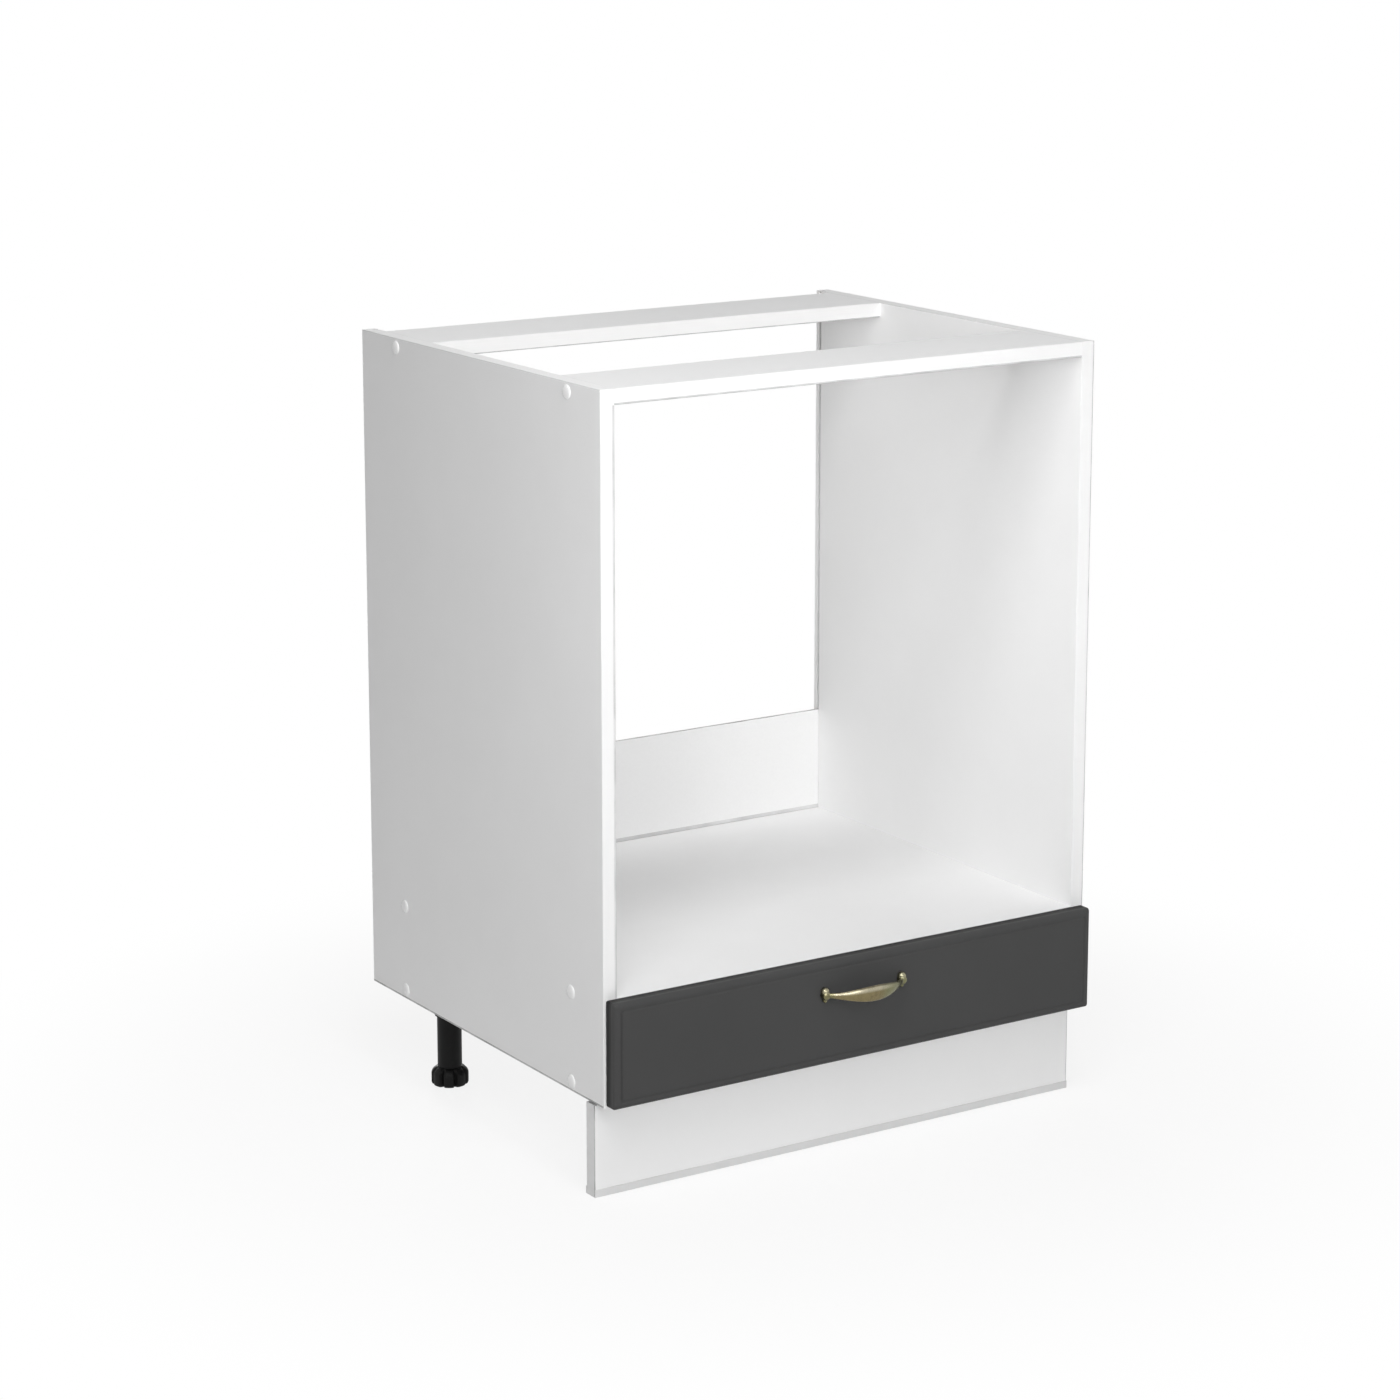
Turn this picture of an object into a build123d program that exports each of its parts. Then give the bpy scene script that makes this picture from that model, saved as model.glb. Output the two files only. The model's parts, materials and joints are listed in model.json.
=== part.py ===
from build123d import *
import os
from math import asin, cos, pi, sin

# Oven housing cabinet, a floor-standing base unit 600 mm wide.
# X runs to the right, Y to the rear and Z up. The origin lies on the floor,
# in the middle of the cabinet's outer box. All sizes are in millimetres.

os.makedirs("parts", exist_ok=True)

# Carcass boards
width = 600.0
carcass_depth = 484.0
carcass_height = 720.0
board = 16.0
band = 0.8
rail_depth = 100.0
rear_rail_inset = 25.0
drawer_opening = 80.0

# Back strip in the grooves of the side panels
strip_thick = 3.2
strip_height = 230.0
strip_play = 0.4
strip_end_play = 1.0
groove_depth = 8.0
rear_lip = 6.0

# Confirmat screws, nails and caps
bore_play = 0.1
bore_end = 1.0
confirmat_length = 50.0
confirmat_head_r = 5.0
confirmat_head = 3.0
confirmat_neck_r = 3.5
confirmat_thread_r = 3.1
edge_screw_shift = 2.0
front_screw_margin = 38.0
cap_r = 7.5
cap_height = 2.6
cap_rim = 0.6
nail_length = 22.0
nail_r = 0.8
nail_head_r = 1.8
nail_head = 0.5

# Legs
leg_height = 100.0
leg_flange = 58.0
leg_flange_thick = 3.0
leg_behind_screw = 5.0
leg_before_screw = 13.0
leg_flange_corner = 10.0
socket_drop = 22.0
socket_wall = 3.0
socket_draft = 2.0
rib_thick = 2.4
rib_edge = 2.0
rib_foot = 6.0
leg_tube_r = 13.3
leg_tube_wall = 2.0
leg_play = 0.1
foot_r = 20.4
foot_height = 20.0
foot_edge = 2.0
foot_shoulder_r = 7.0
foot_lobes = 8
foot_notch_r = 2.8
foot_notch_out = 0.7
foot_play = 0.3
stem_edge = 1.0
stem_head_room = 25.0
leg_screw_grid = 40.0

# Plinth
plinth_setback = 20.0
plinth_side_gap = 1.0
plinth_top_gap = 3.0
seal_height = 8.0
seal_foot = 1.2
seal_wall = 0.8
clip_height = 14.0
clip_wall = 3.0
clip_plate = 34.0
clip_corner = 4.0
clip_level = 52.0
clip_arm = 5.0
clip_screw_spacing = 20.0

# Drawer front and its milled line
front_gap = 1.5
front_thick = 16.0
front_reveal = 2.0
front_round = 5.0
mill_inset = 10.0
mill_width = 4.0
mill_depth = 0.9

# Handle
handle_spacing = 96.0
handle_drop = 34.0
handle_rise = 24.0
handle_end_rise = 3.0
bow_thick = 4.4
bow_end_width = 4.5
bow_leaf = 10.5
bow_stations = 9
boss_r = 4.6
boss_height = 8.0
boss_rim = 5.0
ball_r = 4.9
drop_height = 17.0
handle_screw_length = 22.0

# Drawer box
side_gap = 12.5
box_headroom = 22.6
bottom_thick = 3.2
box_screw_inset = 12.0
front_screw_end = 90.0
front_screw_rise = 24.0
front_screw_length = 28.0

# Roller runners
steel = 1.2
runner_setback = 2.0
runner_rear_gap = 22.0
drawer_runner_short = 4.0
channel_height = 30.0
channel_lift = 2.0
channel_flange = 10.0
drawer_flange_lift = 3.0
under_flange = 15.0
top_flange_edge = 2.4
flange_play = 1.5
rolling_gap = 0.3
front_roller_play = 0.6
rear_roller_play = 0.9
roller_width = 7.0
roller_edge = 0.7
roller_bore_play = 0.1
roller_web_play = 0.4
front_roller_set = 14.0
rear_roller_set = 16.0
pin_r = 2.5
pin_head_r = 4.5
pin_head = 1.0
pin_recess = 1.5
recess_play = 0.5
runner_screw_front = 35.0
runner_screw_rear = 63.0
slot_pitch = 32.0
slot_length = 9.0
slot_width = 4.4
end_tab_height = 14.0
stop_from_front = 92.0
stop_half_length = 3.0
stop_height = 1.3

# Wood screws, all of one kind apart from their length
screw_r = 1.9
screw_head_r = 3.8
screw_head = 2.0
screw_length = 16.0

# Machine screws of the handle
machine_r = 2.0
machine_head_r = 4.0
machine_head = 2.2

# Levels worked out from the sizes above
handle_reach = handle_rise + bow_thick / 2
overhang = front_gap + front_thick + handle_reach
y_front = overhang - (carcass_depth + overhang) / 2
y_rear = y_front + carcass_depth
x_out = width / 2
x_in = x_out - board
z_under = leg_height
z_top = z_under + carcass_height
z_floor = z_under + board
z_shelf = z_floor + drawer_opening
z_rail = z_top - board
groove_width = strip_thick + 2 * strip_play
y_groove = y_rear - rear_lip - groove_width
y_rear_rail = y_rear - rear_rail_inset
y_screw_front = y_front + rail_depth - front_screw_margin
y_screw_rear = y_rear_rail - rail_depth / 2
z_screws = (
    z_under + board / 2 + edge_screw_shift,
    z_shelf + board / 2,
    z_top - board / 2 - edge_screw_shift,
)
carcass_screw_points = [(y, z) for z in z_screws for y in (y_screw_front, y_screw_rear)]
nail_columns = [x_in * share for share in (-0.85, -0.3, 0.3, 0.85)]

# Runner lengths, from the room between the front edge and the back strip
y_runner = y_front + runner_setback
runner_length = y_groove - runner_rear_gap - y_runner
drawer_runner_length = runner_length - drawer_runner_short
runner_screw_last = runner_length - runner_screw_rear
runner_screw_holes = (
    runner_screw_front,
    (runner_screw_front + runner_screw_last) / 2,
    runner_screw_last,
)

# Slots one pitch from the screw holes. The first would meet the front roller, so it is left out.
runner_slots = [hole + step for hole in runner_screw_holes for step in (-slot_pitch, slot_pitch)][1:]

# Drawer levels
x_box = x_in - side_gap
z_channel = z_floor + channel_lift
z_roll = z_channel + steel
z_roll_top = z_channel + channel_height - steel
z_top_flange = z_roll_top - flange_play - steel
z_under_flange = z_channel + drawer_flange_lift
z_thin_bottom = z_under_flange + steel
z_box = z_thin_bottom + bottom_thick
z_box_top = z_shelf - box_headroom
box_height = z_box_top - z_box
box_depth = runner_length
y_box = y_front - front_gap
y_box_end = y_box + box_depth
y_face = y_box - front_thick
z_front_low = z_under + front_reveal
z_front_high = z_shelf + board
front_height = z_front_high - z_front_low
front_width = width - 2 * front_reveal
z_handle = z_front_high - handle_drop
front_roller_r = (z_top_flange - rolling_gap - z_roll - front_roller_play) / 2
rear_roller_r = (z_roll_top - z_roll - rolling_gap - rear_roller_play) / 2
y_front_roller = y_runner + front_roller_set
z_front_roller = z_roll + front_roller_play + front_roller_r
y_rear_roller = y_runner + drawer_runner_length - rear_roller_set
z_rear_roller = z_roll + rolling_gap + rear_roller_r

# Leg and plinth levels
leg_x = x_in - leg_flange / 2
leg_rows = {"front": y_screw_front + leg_behind_screw, "rear": y_screw_rear - leg_before_screw}
z_tube_low = foot_height + foot_play
z_tube_high = z_under - leg_flange_thick
z_stem_top = z_tube_high - stem_head_room
stem_r = leg_tube_r - leg_tube_wall - foot_play
y_plinth = y_front + plinth_setback
y_plinth_back = y_plinth + board
plinth_half = x_out - plinth_side_gap
plinth_top = z_under - plinth_top_gap


def at_depth(y):
    """The upright plane across the cabinet at depth y, facing forwards."""
    return Plane.XZ.offset(-y)


def save(piece, name):
    """Label one finished piece and write its file."""
    piece.part.label = name
    export_step(piece.part, f"parts/{name}.step")


def dome_middle(radius, low, high):
    """A point half way up the round arc from (radius, low) to (0, high)."""
    rise = high - low
    ball = (radius ** 2 + rise ** 2) / (2 * rise)
    angle = asin(radius / ball) / 2
    return ball * sin(angle), high - ball * (1 - cos(angle))


def turned(outline):
    """A body turned about Z from an outline of (radius, height) points."""
    with BuildPart() as body:
        with BuildSketch(Plane.XZ):
            with BuildLine():
                Polyline(*outline, close=True)
            make_face()
        revolve(axis=Axis.Z)
    return body.part


def placed(body, places):
    """Copies of one body, its Z axis along each place's normal."""
    with BuildPart() as group:
        with Locations(*places):
            add(body)
    return group


def confirmat():
    """A confirmat screw, its head's flat top at Z = 0."""
    cone = confirmat_head_r - confirmat_neck_r
    neck_end = -board
    tip = -confirmat_length
    return turned([
        (0, 0),
        (confirmat_head_r, 0),
        (confirmat_head_r, cone - confirmat_head),
        (confirmat_neck_r, -confirmat_head),
        (confirmat_neck_r, neck_end),
        (confirmat_thread_r, neck_end),
        (confirmat_thread_r, tip + confirmat_thread_r),
        (0, tip),
    ])


def pan_screw(radius, head_r, head, length):
    """A screw with a low domed head that stands on Z = 0."""
    return turned([
        (0, head),
        (head_r * 0.6, head * 0.9),
        (head_r, head * 0.4),
        (head_r, 0),
        (radius, 0),
        (radius, radius - length),
        (0, -length),
    ])


def sunk_screw(radius, head_r, length):
    """A countersunk wood screw, its flat head's top at Z = 0."""
    return turned([
        (0, 0),
        (head_r, 0),
        (radius, radius - head_r),
        (radius, radius - length),
        (0, -length),
    ])


def nail():
    """A small nail, its head standing on Z = 0."""
    return turned([
        (0, nail_head),
        (nail_head_r, nail_head),
        (nail_head_r, 0),
        (nail_r, 0),
        (nail_r, nail_r - nail_length),
        (0, -nail_length),
    ])


# Side panels. The groove for the back strip runs their full height.
def side_panel(side):
    with BuildPart() as panel:
        with BuildSketch(Plane.YZ.offset(side * x_in)):
            with Locations(((y_front + band + y_rear) / 2, (z_under + z_top) / 2)):
                Rectangle(carcass_depth - band, carcass_height)
        extrude(amount=side * board)
        with BuildSketch(Plane.XY.offset(z_under)):
            with Locations((side * (x_in + groove_depth / 2), y_groove + groove_width / 2)):
                Rectangle(groove_depth, groove_width)
        extrude(amount=carcass_height, mode=Mode.SUBTRACT)
        with BuildSketch(Plane.YZ.offset(side * x_out)):
            with Locations(*carcass_screw_points):
                Circle(confirmat_neck_r + bore_play)
        extrude(amount=-side * board, mode=Mode.SUBTRACT)
        with BuildSketch(Plane.YZ.offset(side * x_out)):
            with Locations(*carcass_screw_points):
                Circle(confirmat_head_r + bore_play)
        extrude(amount=-side * confirmat_head, mode=Mode.SUBTRACT)
        with BuildSketch(Plane.YZ.offset(side * x_in)):
            with Locations(*[(y_runner + hole, z_front_roller) for hole in runner_screw_holes]):
                Circle(screw_r + bore_play)
        extrude(amount=side * (screw_length - steel), mode=Mode.SUBTRACT)
    return panel


# Boards that lie between the side panels, bored at both ends for the confirmats.
def cross_board(y_near, y_far, z_low, z_bores):
    with BuildPart() as piece:
        with BuildSketch(Plane.XY.offset(z_low)):
            with Locations((0, (y_near + band + y_far) / 2)):
                Rectangle(2 * x_in, y_far - y_near - band)
        extrude(amount=board)
        rows = [y for y in (y_screw_front, y_screw_rear) if y_near < y < y_far]
        for side in (-1, 1):
            with BuildSketch(Plane.YZ.offset(side * x_in)):
                with Locations(*[(y, z_bores) for y in rows]):
                    Circle(confirmat_thread_r + bore_play)
            extrude(amount=side * (board - confirmat_length - bore_end), mode=Mode.SUBTRACT)
    return piece


def edge_band(x_low, x_high, y_near, z_low, z_high):
    """A strip of edge band on a board's front edge."""
    with BuildPart() as strip:
        with BuildSketch(at_depth(y_near + band)):
            with Locations(((x_low + x_high) / 2, (z_low + z_high) / 2)):
                Rectangle(x_high - x_low, z_high - z_low)
        extrude(amount=band)
    return strip


for side, name in ((-1, "left"), (1, "right")):
    save(side_panel(side), f"{name}_side_panel")
    edges = sorted((side * x_in, side * x_out))
    save(edge_band(*edges, y_front, z_under, z_top), f"{name}_side_edge_band")

with BuildPart() as bottom_panel:
    add(cross_board(y_front, y_groove, z_under, z_screws[0]).part)
    with BuildSketch(at_depth(y_groove)):
        with Locations(*[(x, z_under + board / 2) for x in nail_columns]):
            Circle(nail_r + bore_play)
    extrude(amount=nail_length, mode=Mode.SUBTRACT)
    with BuildSketch(Plane.XY.offset(z_under)):
        for leg_side in (-leg_x, leg_x):
            for leg_y in leg_rows.values():
                with Locations((leg_side, leg_y)):
                    with GridLocations(leg_screw_grid, leg_screw_grid, 2, 2):
                        Circle(screw_r + bore_play)
    extrude(amount=screw_length - leg_flange_thick + bore_play, mode=Mode.SUBTRACT)
save(bottom_panel, "bottom_panel")
save(edge_band(-x_in, x_in, y_front, z_under, z_floor), "bottom_panel_edge_band")

with BuildPart() as oven_shelf:
    add(cross_board(y_front, y_groove, z_shelf, z_screws[1]).part)
    with BuildSketch(at_depth(y_groove)):
        with Locations(*[(x, z_shelf + board / 2) for x in nail_columns]):
            Circle(nail_r + bore_play)
    extrude(amount=nail_length, mode=Mode.SUBTRACT)
save(oven_shelf, "oven_shelf")
save(edge_band(-x_in, x_in, y_front, z_shelf, z_shelf + board), "oven_shelf_edge_band")

rail_starts = {"front": y_front, "rear": y_rear_rail - rail_depth}
for name, start in rail_starts.items():
    save(cross_board(start, start + rail_depth, z_rail, z_screws[2]), f"{name}_top_rail")
    save(edge_band(-x_in, x_in, start, z_rail, z_top), f"{name}_top_rail_edge_band")

# Back strip, slid into the two grooves and nailed to the shelf and the bottom.
with BuildPart() as back_strip:
    with BuildSketch(Plane.XY.offset(z_under)):
        with Locations((0, y_groove + strip_play + strip_thick / 2)):
            Rectangle(2 * (x_in + groove_depth - strip_end_play), strip_thick)
    extrude(amount=strip_height)
    with BuildSketch(at_depth(y_groove)):
        for level in (z_under + board / 2, z_shelf + board / 2):
            with Locations(*[(x, level) for x in nail_columns]):
                Circle(nail_r + bore_play)
    extrude(amount=-groove_width, mode=Mode.SUBTRACT)
save(back_strip, "back_strip")

nail_plane_y = y_groove + strip_play + strip_thick
strip_nail_places = [
    Plane(origin=(x, nail_plane_y, z), z_dir=(0, 1, 0))
    for z in (z_under + board / 2, z_shelf + board / 2)
    for x in nail_columns
]
save(placed(nail(), strip_nail_places), "back_strip_nails")

carcass_screw_places = [
    Plane(origin=(side * x_out, y, z), z_dir=(side, 0, 0))
    for side in (-1, 1)
    for y, z in carcass_screw_points
]
save(placed(confirmat(), carcass_screw_places), "carcass_screws")

# Domed caps that cover the confirmat heads.
with BuildPart() as cap:
    with BuildSketch(Plane.XZ):
        with BuildLine():
            Line((0, 0), (cap_r, 0))
            Line((cap_r, 0), (cap_r, cap_rim))
            ThreePointArc((cap_r, cap_rim), dome_middle(cap_r, cap_rim, cap_height), (0, cap_height))
            Line((0, cap_height), (0, 0))
        make_face()
    revolve(axis=Axis.Z)
save(placed(cap.part, carcass_screw_places), "screw_caps")


# Legs: a screwed-on socket, a tube pressed into it and a foot that screws down.
def leg_socket(x, y):
    sleeve_r = leg_tube_r + socket_wall
    with BuildPart() as socket:
        with BuildSketch(Plane.XY.offset(z_under - leg_flange_thick)):
            with Locations((x, y)):
                RectangleRounded(leg_flange, leg_flange, leg_flange_corner)
        extrude(amount=leg_flange_thick)
        with BuildSketch(Plane.XY.offset(z_under - leg_flange_thick)):
            with Locations((x, y)):
                Circle(sleeve_r)
        extrude(amount=leg_flange_thick - socket_drop, taper=socket_draft)
        # Four ribs brace the sleeve against the flange.
        for rib_plane in (Plane.XZ, Plane.YZ):
            rib_middle = Plane(origin=(x, y, 0), x_dir=rib_plane.x_dir, z_dir=rib_plane.z_dir)
            with BuildSketch(rib_middle):
                with BuildLine():
                    Polyline(
                        (rib_edge - leg_flange / 2, z_under - leg_flange_thick),
                        (leg_flange / 2 - rib_edge, z_under - leg_flange_thick),
                        (leg_tube_r + rib_edge, z_under - socket_drop + rib_foot),
                        (-leg_tube_r - rib_edge, z_under - socket_drop + rib_foot),
                        close=True,
                    )
                make_face()
            extrude(amount=rib_thick / 2, both=True)
        with BuildSketch(Plane.XY.offset(z_under - leg_flange_thick)):
            with Locations((x, y)):
                Circle(leg_tube_r + leg_play)
        extrude(amount=leg_flange_thick - socket_drop, mode=Mode.SUBTRACT)
        with Locations(Plane(origin=(x, y, z_under - leg_flange_thick), z_dir=(0, 0, -1))):
            with GridLocations(leg_screw_grid, leg_screw_grid, 2, 2):
                CounterSinkHole(screw_r + bore_play, screw_head_r + bore_play, leg_flange_thick, 90)
    return socket


def leg_tube(x, y):
    with BuildPart() as tube:
        with BuildSketch(Plane.XY.offset(z_tube_low)):
            with Locations((x, y)):
                Circle(leg_tube_r)
                Circle(leg_tube_r - leg_tube_wall, mode=Mode.SUBTRACT)
        extrude(amount=z_tube_high - z_tube_low)
    return tube


def leg_foot(x, y):
    """Scalloped foot with a round shoulder and the stem that screws into the tube."""
    round_middle = foot_shoulder_r * (1 - cos(pi / 4))
    with BuildPart() as foot:
        with BuildSketch(Plane(origin=(x, y, 0), x_dir=(1, 0, 0), z_dir=(0, -1, 0))):
            with BuildLine():
                Line((0, 0), (foot_r - foot_edge, 0))
                Line((foot_r - foot_edge, 0), (foot_r, foot_edge))
                Line((foot_r, foot_edge), (foot_r, foot_height - foot_shoulder_r))
                ThreePointArc(
                    (foot_r, foot_height - foot_shoulder_r),
                    (foot_r - round_middle, foot_height - round_middle),
                    (foot_r - foot_shoulder_r, foot_height),
                )
                Line((foot_r - foot_shoulder_r, foot_height), (stem_r, foot_height))
                Line((stem_r, foot_height), (stem_r, z_stem_top - stem_edge))
                Line((stem_r, z_stem_top - stem_edge), (stem_r - stem_edge, z_stem_top))
                Line((stem_r - stem_edge, z_stem_top), (0, z_stem_top))
                Line((0, z_stem_top), (0, 0))
            make_face()
        revolve(axis=Axis((x, y, 0), (0, 0, 1)))
        with BuildSketch(Plane.XY):
            with Locations((x, y)):
                with PolarLocations(foot_r + foot_notch_out, foot_lobes):
                    Circle(foot_notch_r)
        extrude(amount=foot_height, mode=Mode.SUBTRACT)
    return foot


leg_screw_places = []
for row, leg_y in leg_rows.items():
    for side, name in ((-1, "left"), (1, "right")):
        save(leg_socket(side * leg_x, leg_y), f"leg_socket_{row}_{name}")
        save(leg_tube(side * leg_x, leg_y), f"leg_tube_{row}_{name}")
        save(leg_foot(side * leg_x, leg_y), f"leg_foot_{row}_{name}")
        for dx in (-leg_screw_grid / 2, leg_screw_grid / 2):
            for dy in (-leg_screw_grid / 2, leg_screw_grid / 2):
                spot = (side * leg_x + dx, leg_y + dy, z_under - leg_flange_thick)
                leg_screw_places.append(Plane(origin=spot, z_dir=(0, 0, -1)))
save(placed(sunk_screw(screw_r, screw_head_r, screw_length), leg_screw_places), "leg_screws")

# Plinth board with a sealing profile along its lower edge.
with BuildPart() as plinth_board:
    with BuildSketch(Plane.YZ.offset(-plinth_half)):
        with Locations(((y_plinth + y_plinth_back) / 2, (seal_foot + plinth_top) / 2)):
            Rectangle(board, plinth_top - seal_foot)
    extrude(amount=2 * plinth_half)
    with BuildSketch(at_depth(y_plinth_back)):
        with Locations((-leg_x, clip_level), (leg_x, clip_level)):
            with GridLocations(0, clip_screw_spacing, 1, 2):
                Circle(screw_r + bore_play)
    extrude(amount=screw_length - clip_wall + bore_play, mode=Mode.SUBTRACT)
save(plinth_board, "plinth_board")

with BuildPart() as plinth_seal:
    with BuildSketch(Plane.YZ.offset(-plinth_half)):
        with Locations(((y_plinth + y_plinth_back) / 2, seal_height / 2)):
            RectangleRounded(board + 2 * seal_wall, seal_height, seal_wall / 2)
        with Locations(((y_plinth + y_plinth_back) / 2, seal_foot + seal_height / 2)):
            Rectangle(board, seal_height, mode=Mode.SUBTRACT)
    extrude(amount=2 * plinth_half)
save(plinth_seal, "plinth_seal")


# Plinth clips: a plate on the board, two ribs and an open jaw round the leg tube.
def plinth_clip(x):
    leg_y = leg_rows["front"]
    jaw_in = leg_tube_r + foot_play
    jaw_out = jaw_in + clip_wall
    rib_end = leg_y - leg_tube_r * 0.8
    with BuildPart() as clip:
        with BuildSketch(Plane.XY.offset(clip_level - clip_height / 2)):
            with Locations((x, leg_y)):
                Circle(jaw_out)
            with Locations((x, leg_y + clip_arm / 2)):
                Rectangle(2 * jaw_out, clip_arm)
            with Locations((x, leg_y + clip_arm + jaw_out / 2)):
                Rectangle(2 * jaw_out, jaw_out, mode=Mode.SUBTRACT)
            with Locations((x, (y_plinth_back + rib_end) / 2)):
                with GridLocations(jaw_out + clip_wall, 0, 2, 1):
                    Rectangle(clip_wall, rib_end - y_plinth_back)
            with Locations((x, leg_y)):
                Circle(jaw_in, mode=Mode.SUBTRACT)
            with Locations((x, leg_y + clip_arm / 2)):
                Rectangle(2 * jaw_in, clip_arm, mode=Mode.SUBTRACT)
        extrude(amount=clip_height)
        with BuildSketch(at_depth(y_plinth_back)):
            with Locations((x, clip_level)):
                RectangleRounded(clip_plate, clip_plate, clip_corner)
                with GridLocations(0, clip_screw_spacing, 1, 2):
                    Circle(screw_r + bore_play, mode=Mode.SUBTRACT)
        extrude(amount=-clip_wall)
    return clip


for side, name in ((-1, "left"), (1, "right")):
    save(plinth_clip(side * leg_x), f"plinth_clip_{name}")
clip_screw_places = [
    Plane(origin=(side * leg_x, y_plinth_back + clip_wall, clip_level + dz), z_dir=(0, 1, 0))
    for side in (-1, 1)
    for dz in (-clip_screw_spacing / 2, clip_screw_spacing / 2)
]
short_screw = pan_screw(screw_r, screw_head_r, screw_head, screw_length)
save(placed(short_screw, clip_screw_places), "plinth_clip_screws")

# Drawer front with rounded edges and a shallow milled line round its field.
front_screw_x = x_box - board - front_screw_end
z_box_middle = (z_box + z_box_top) / 2
with BuildPart() as drawer_front:
    with BuildSketch(at_depth(y_box)):
        with Locations((0, (z_front_low + z_front_high) / 2)):
            Rectangle(front_width, front_height)
    extrude(amount=front_thick)
    fillet(faces().sort_by(Axis.Y)[0].edges(), radius=front_round)
    mill_slope = mill_depth
    with BuildSketch(at_depth(y_face)):
        with Locations((0, (z_front_low + z_front_high) / 2)):
            inset = mill_inset + mill_slope
            Rectangle(front_width - 2 * inset, front_height - 2 * inset)
            inset = mill_inset + mill_width - mill_slope
            Rectangle(front_width - 2 * inset, front_height - 2 * inset, mode=Mode.SUBTRACT)
    extrude(amount=-mill_depth, mode=Mode.SUBTRACT)
    field_and_border = faces().filter_by(Axis.Y).group_by(Axis.Y)[0]
    rim = field_and_border.sort_by(SortBy.AREA)[0].inner_wires()[0].edges()
    rim += field_and_border.sort_by(SortBy.AREA)[-1].outer_wire().edges()
    chamfer(rim, length=mill_slope * 0.95)
    with BuildSketch(at_depth(y_box)):
        with Locations((-handle_spacing / 2, z_handle), (handle_spacing / 2, z_handle)):
            Circle(machine_r + bore_play)
    extrude(amount=front_thick, mode=Mode.SUBTRACT)
    with BuildSketch(at_depth(y_box)):
        with Locations((0, z_box_middle)):
            with GridLocations(2 * front_screw_x, front_screw_rise, 2, 2):
                Circle(screw_r + bore_play)
    extrude(amount=front_screw_length - board + bore_play, mode=Mode.SUBTRACT)
save(drawer_front, "drawer_front")

# Handle: a leaf-shaped bow lofted along an arc, on two drop-shaped feet.
arc_sag = handle_rise - handle_end_rise
arc_r = ((handle_spacing / 2) ** 2 + arc_sag ** 2) / (2 * arc_sag)
arc_half_angle = asin(handle_spacing / 2 / arc_r)


def bow_section(share):
    """Plane and half width of the bow, with share running from -1 to 1 along it."""
    angle = share * arc_half_angle
    rise = handle_rise - arc_r + arc_r * cos(angle)
    spot = (arc_r * sin(angle), y_face - rise, z_handle)
    plane = Plane(origin=spot, x_dir=(0, 0, 1), z_dir=(cos(angle), sin(angle), 0))
    half_width = (bow_end_width + bow_leaf * cos(share * pi / 2) ** 2) / 2
    return plane, half_width


with BuildPart() as drawer_handle:
    for station in range(bow_stations):
        plane, half_width = bow_section(2 * station / (bow_stations - 1) - 1)
        with BuildSketch(plane):
            Ellipse(half_width, bow_thick / 2)
    loft()
    for post_x in (-handle_spacing / 2, handle_spacing / 2):
        # The ball and the drop below it, turned about an upright axis near the face.
        ball_top = drop_height / 2
        post_y = y_face - boss_r / 2
        with BuildSketch(Plane(origin=(post_x, post_y, z_handle), x_dir=(1, 0, 0), z_dir=(0, -1, 0))):
            with BuildLine():
                Spline(
                    (0, ball_top),
                    (ball_r, ball_top - ball_r),
                    (ball_r * 0.62, -ball_top * 0.12),
                    (ball_r * 0.6, -ball_top * 0.45),
                    (0, -ball_top),
                    tangents=((1, 0), (-1, -1)),
                )
                Line((0, -ball_top), (0, ball_top))
            make_face()
        revolve(axis=Axis((post_x, post_y, z_handle), (0, 0, 1)))
        # The boss that takes the screw.
        with BuildSketch(Plane(origin=(post_x, y_face, z_handle), x_dir=(1, 0, 0), z_dir=(0, 0, -1))):
            with BuildLine():
                Line((0, 0), (boss_r, 0))
                Line((boss_r, 0), (boss_r, boss_rim))
                dome = dome_middle(boss_r, boss_rim, boss_height)
                ThreePointArc((boss_r, boss_rim), dome, (0, boss_height))
                Line((0, boss_height), (0, 0))
            make_face()
        revolve(axis=Axis((post_x, y_face, z_handle), (0, 1, 0)))
    split(bisect_by=at_depth(y_face), keep=Keep.TOP)
    with BuildSketch(at_depth(y_face)):
        with Locations((-handle_spacing / 2, z_handle), (handle_spacing / 2, z_handle)):
            Circle(machine_r + bore_play)
    extrude(amount=handle_screw_length - front_thick + bore_play, mode=Mode.SUBTRACT)
save(drawer_handle, "drawer_handle")

handle_screw_places = [
    Plane(origin=(x, y_box, z_handle), z_dir=(0, 1, 0))
    for x in (-handle_spacing / 2, handle_spacing / 2)
]
machine_screw = pan_screw(machine_r, machine_head_r, machine_head, handle_screw_length)
save(placed(machine_screw, handle_screw_places), "handle_screws")

# Drawer box: full-length sides, an inner front and a back between them.
box_screw_levels = (z_box + box_screw_inset, z_box_top - box_screw_inset)
y_inner_front = y_box + board / 2
y_inner_back = y_box_end - board / 2
box_screw_points = [(y, z) for y in (y_inner_front, y_inner_back) for z in box_screw_levels]
x_box_in = x_box - board


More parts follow.
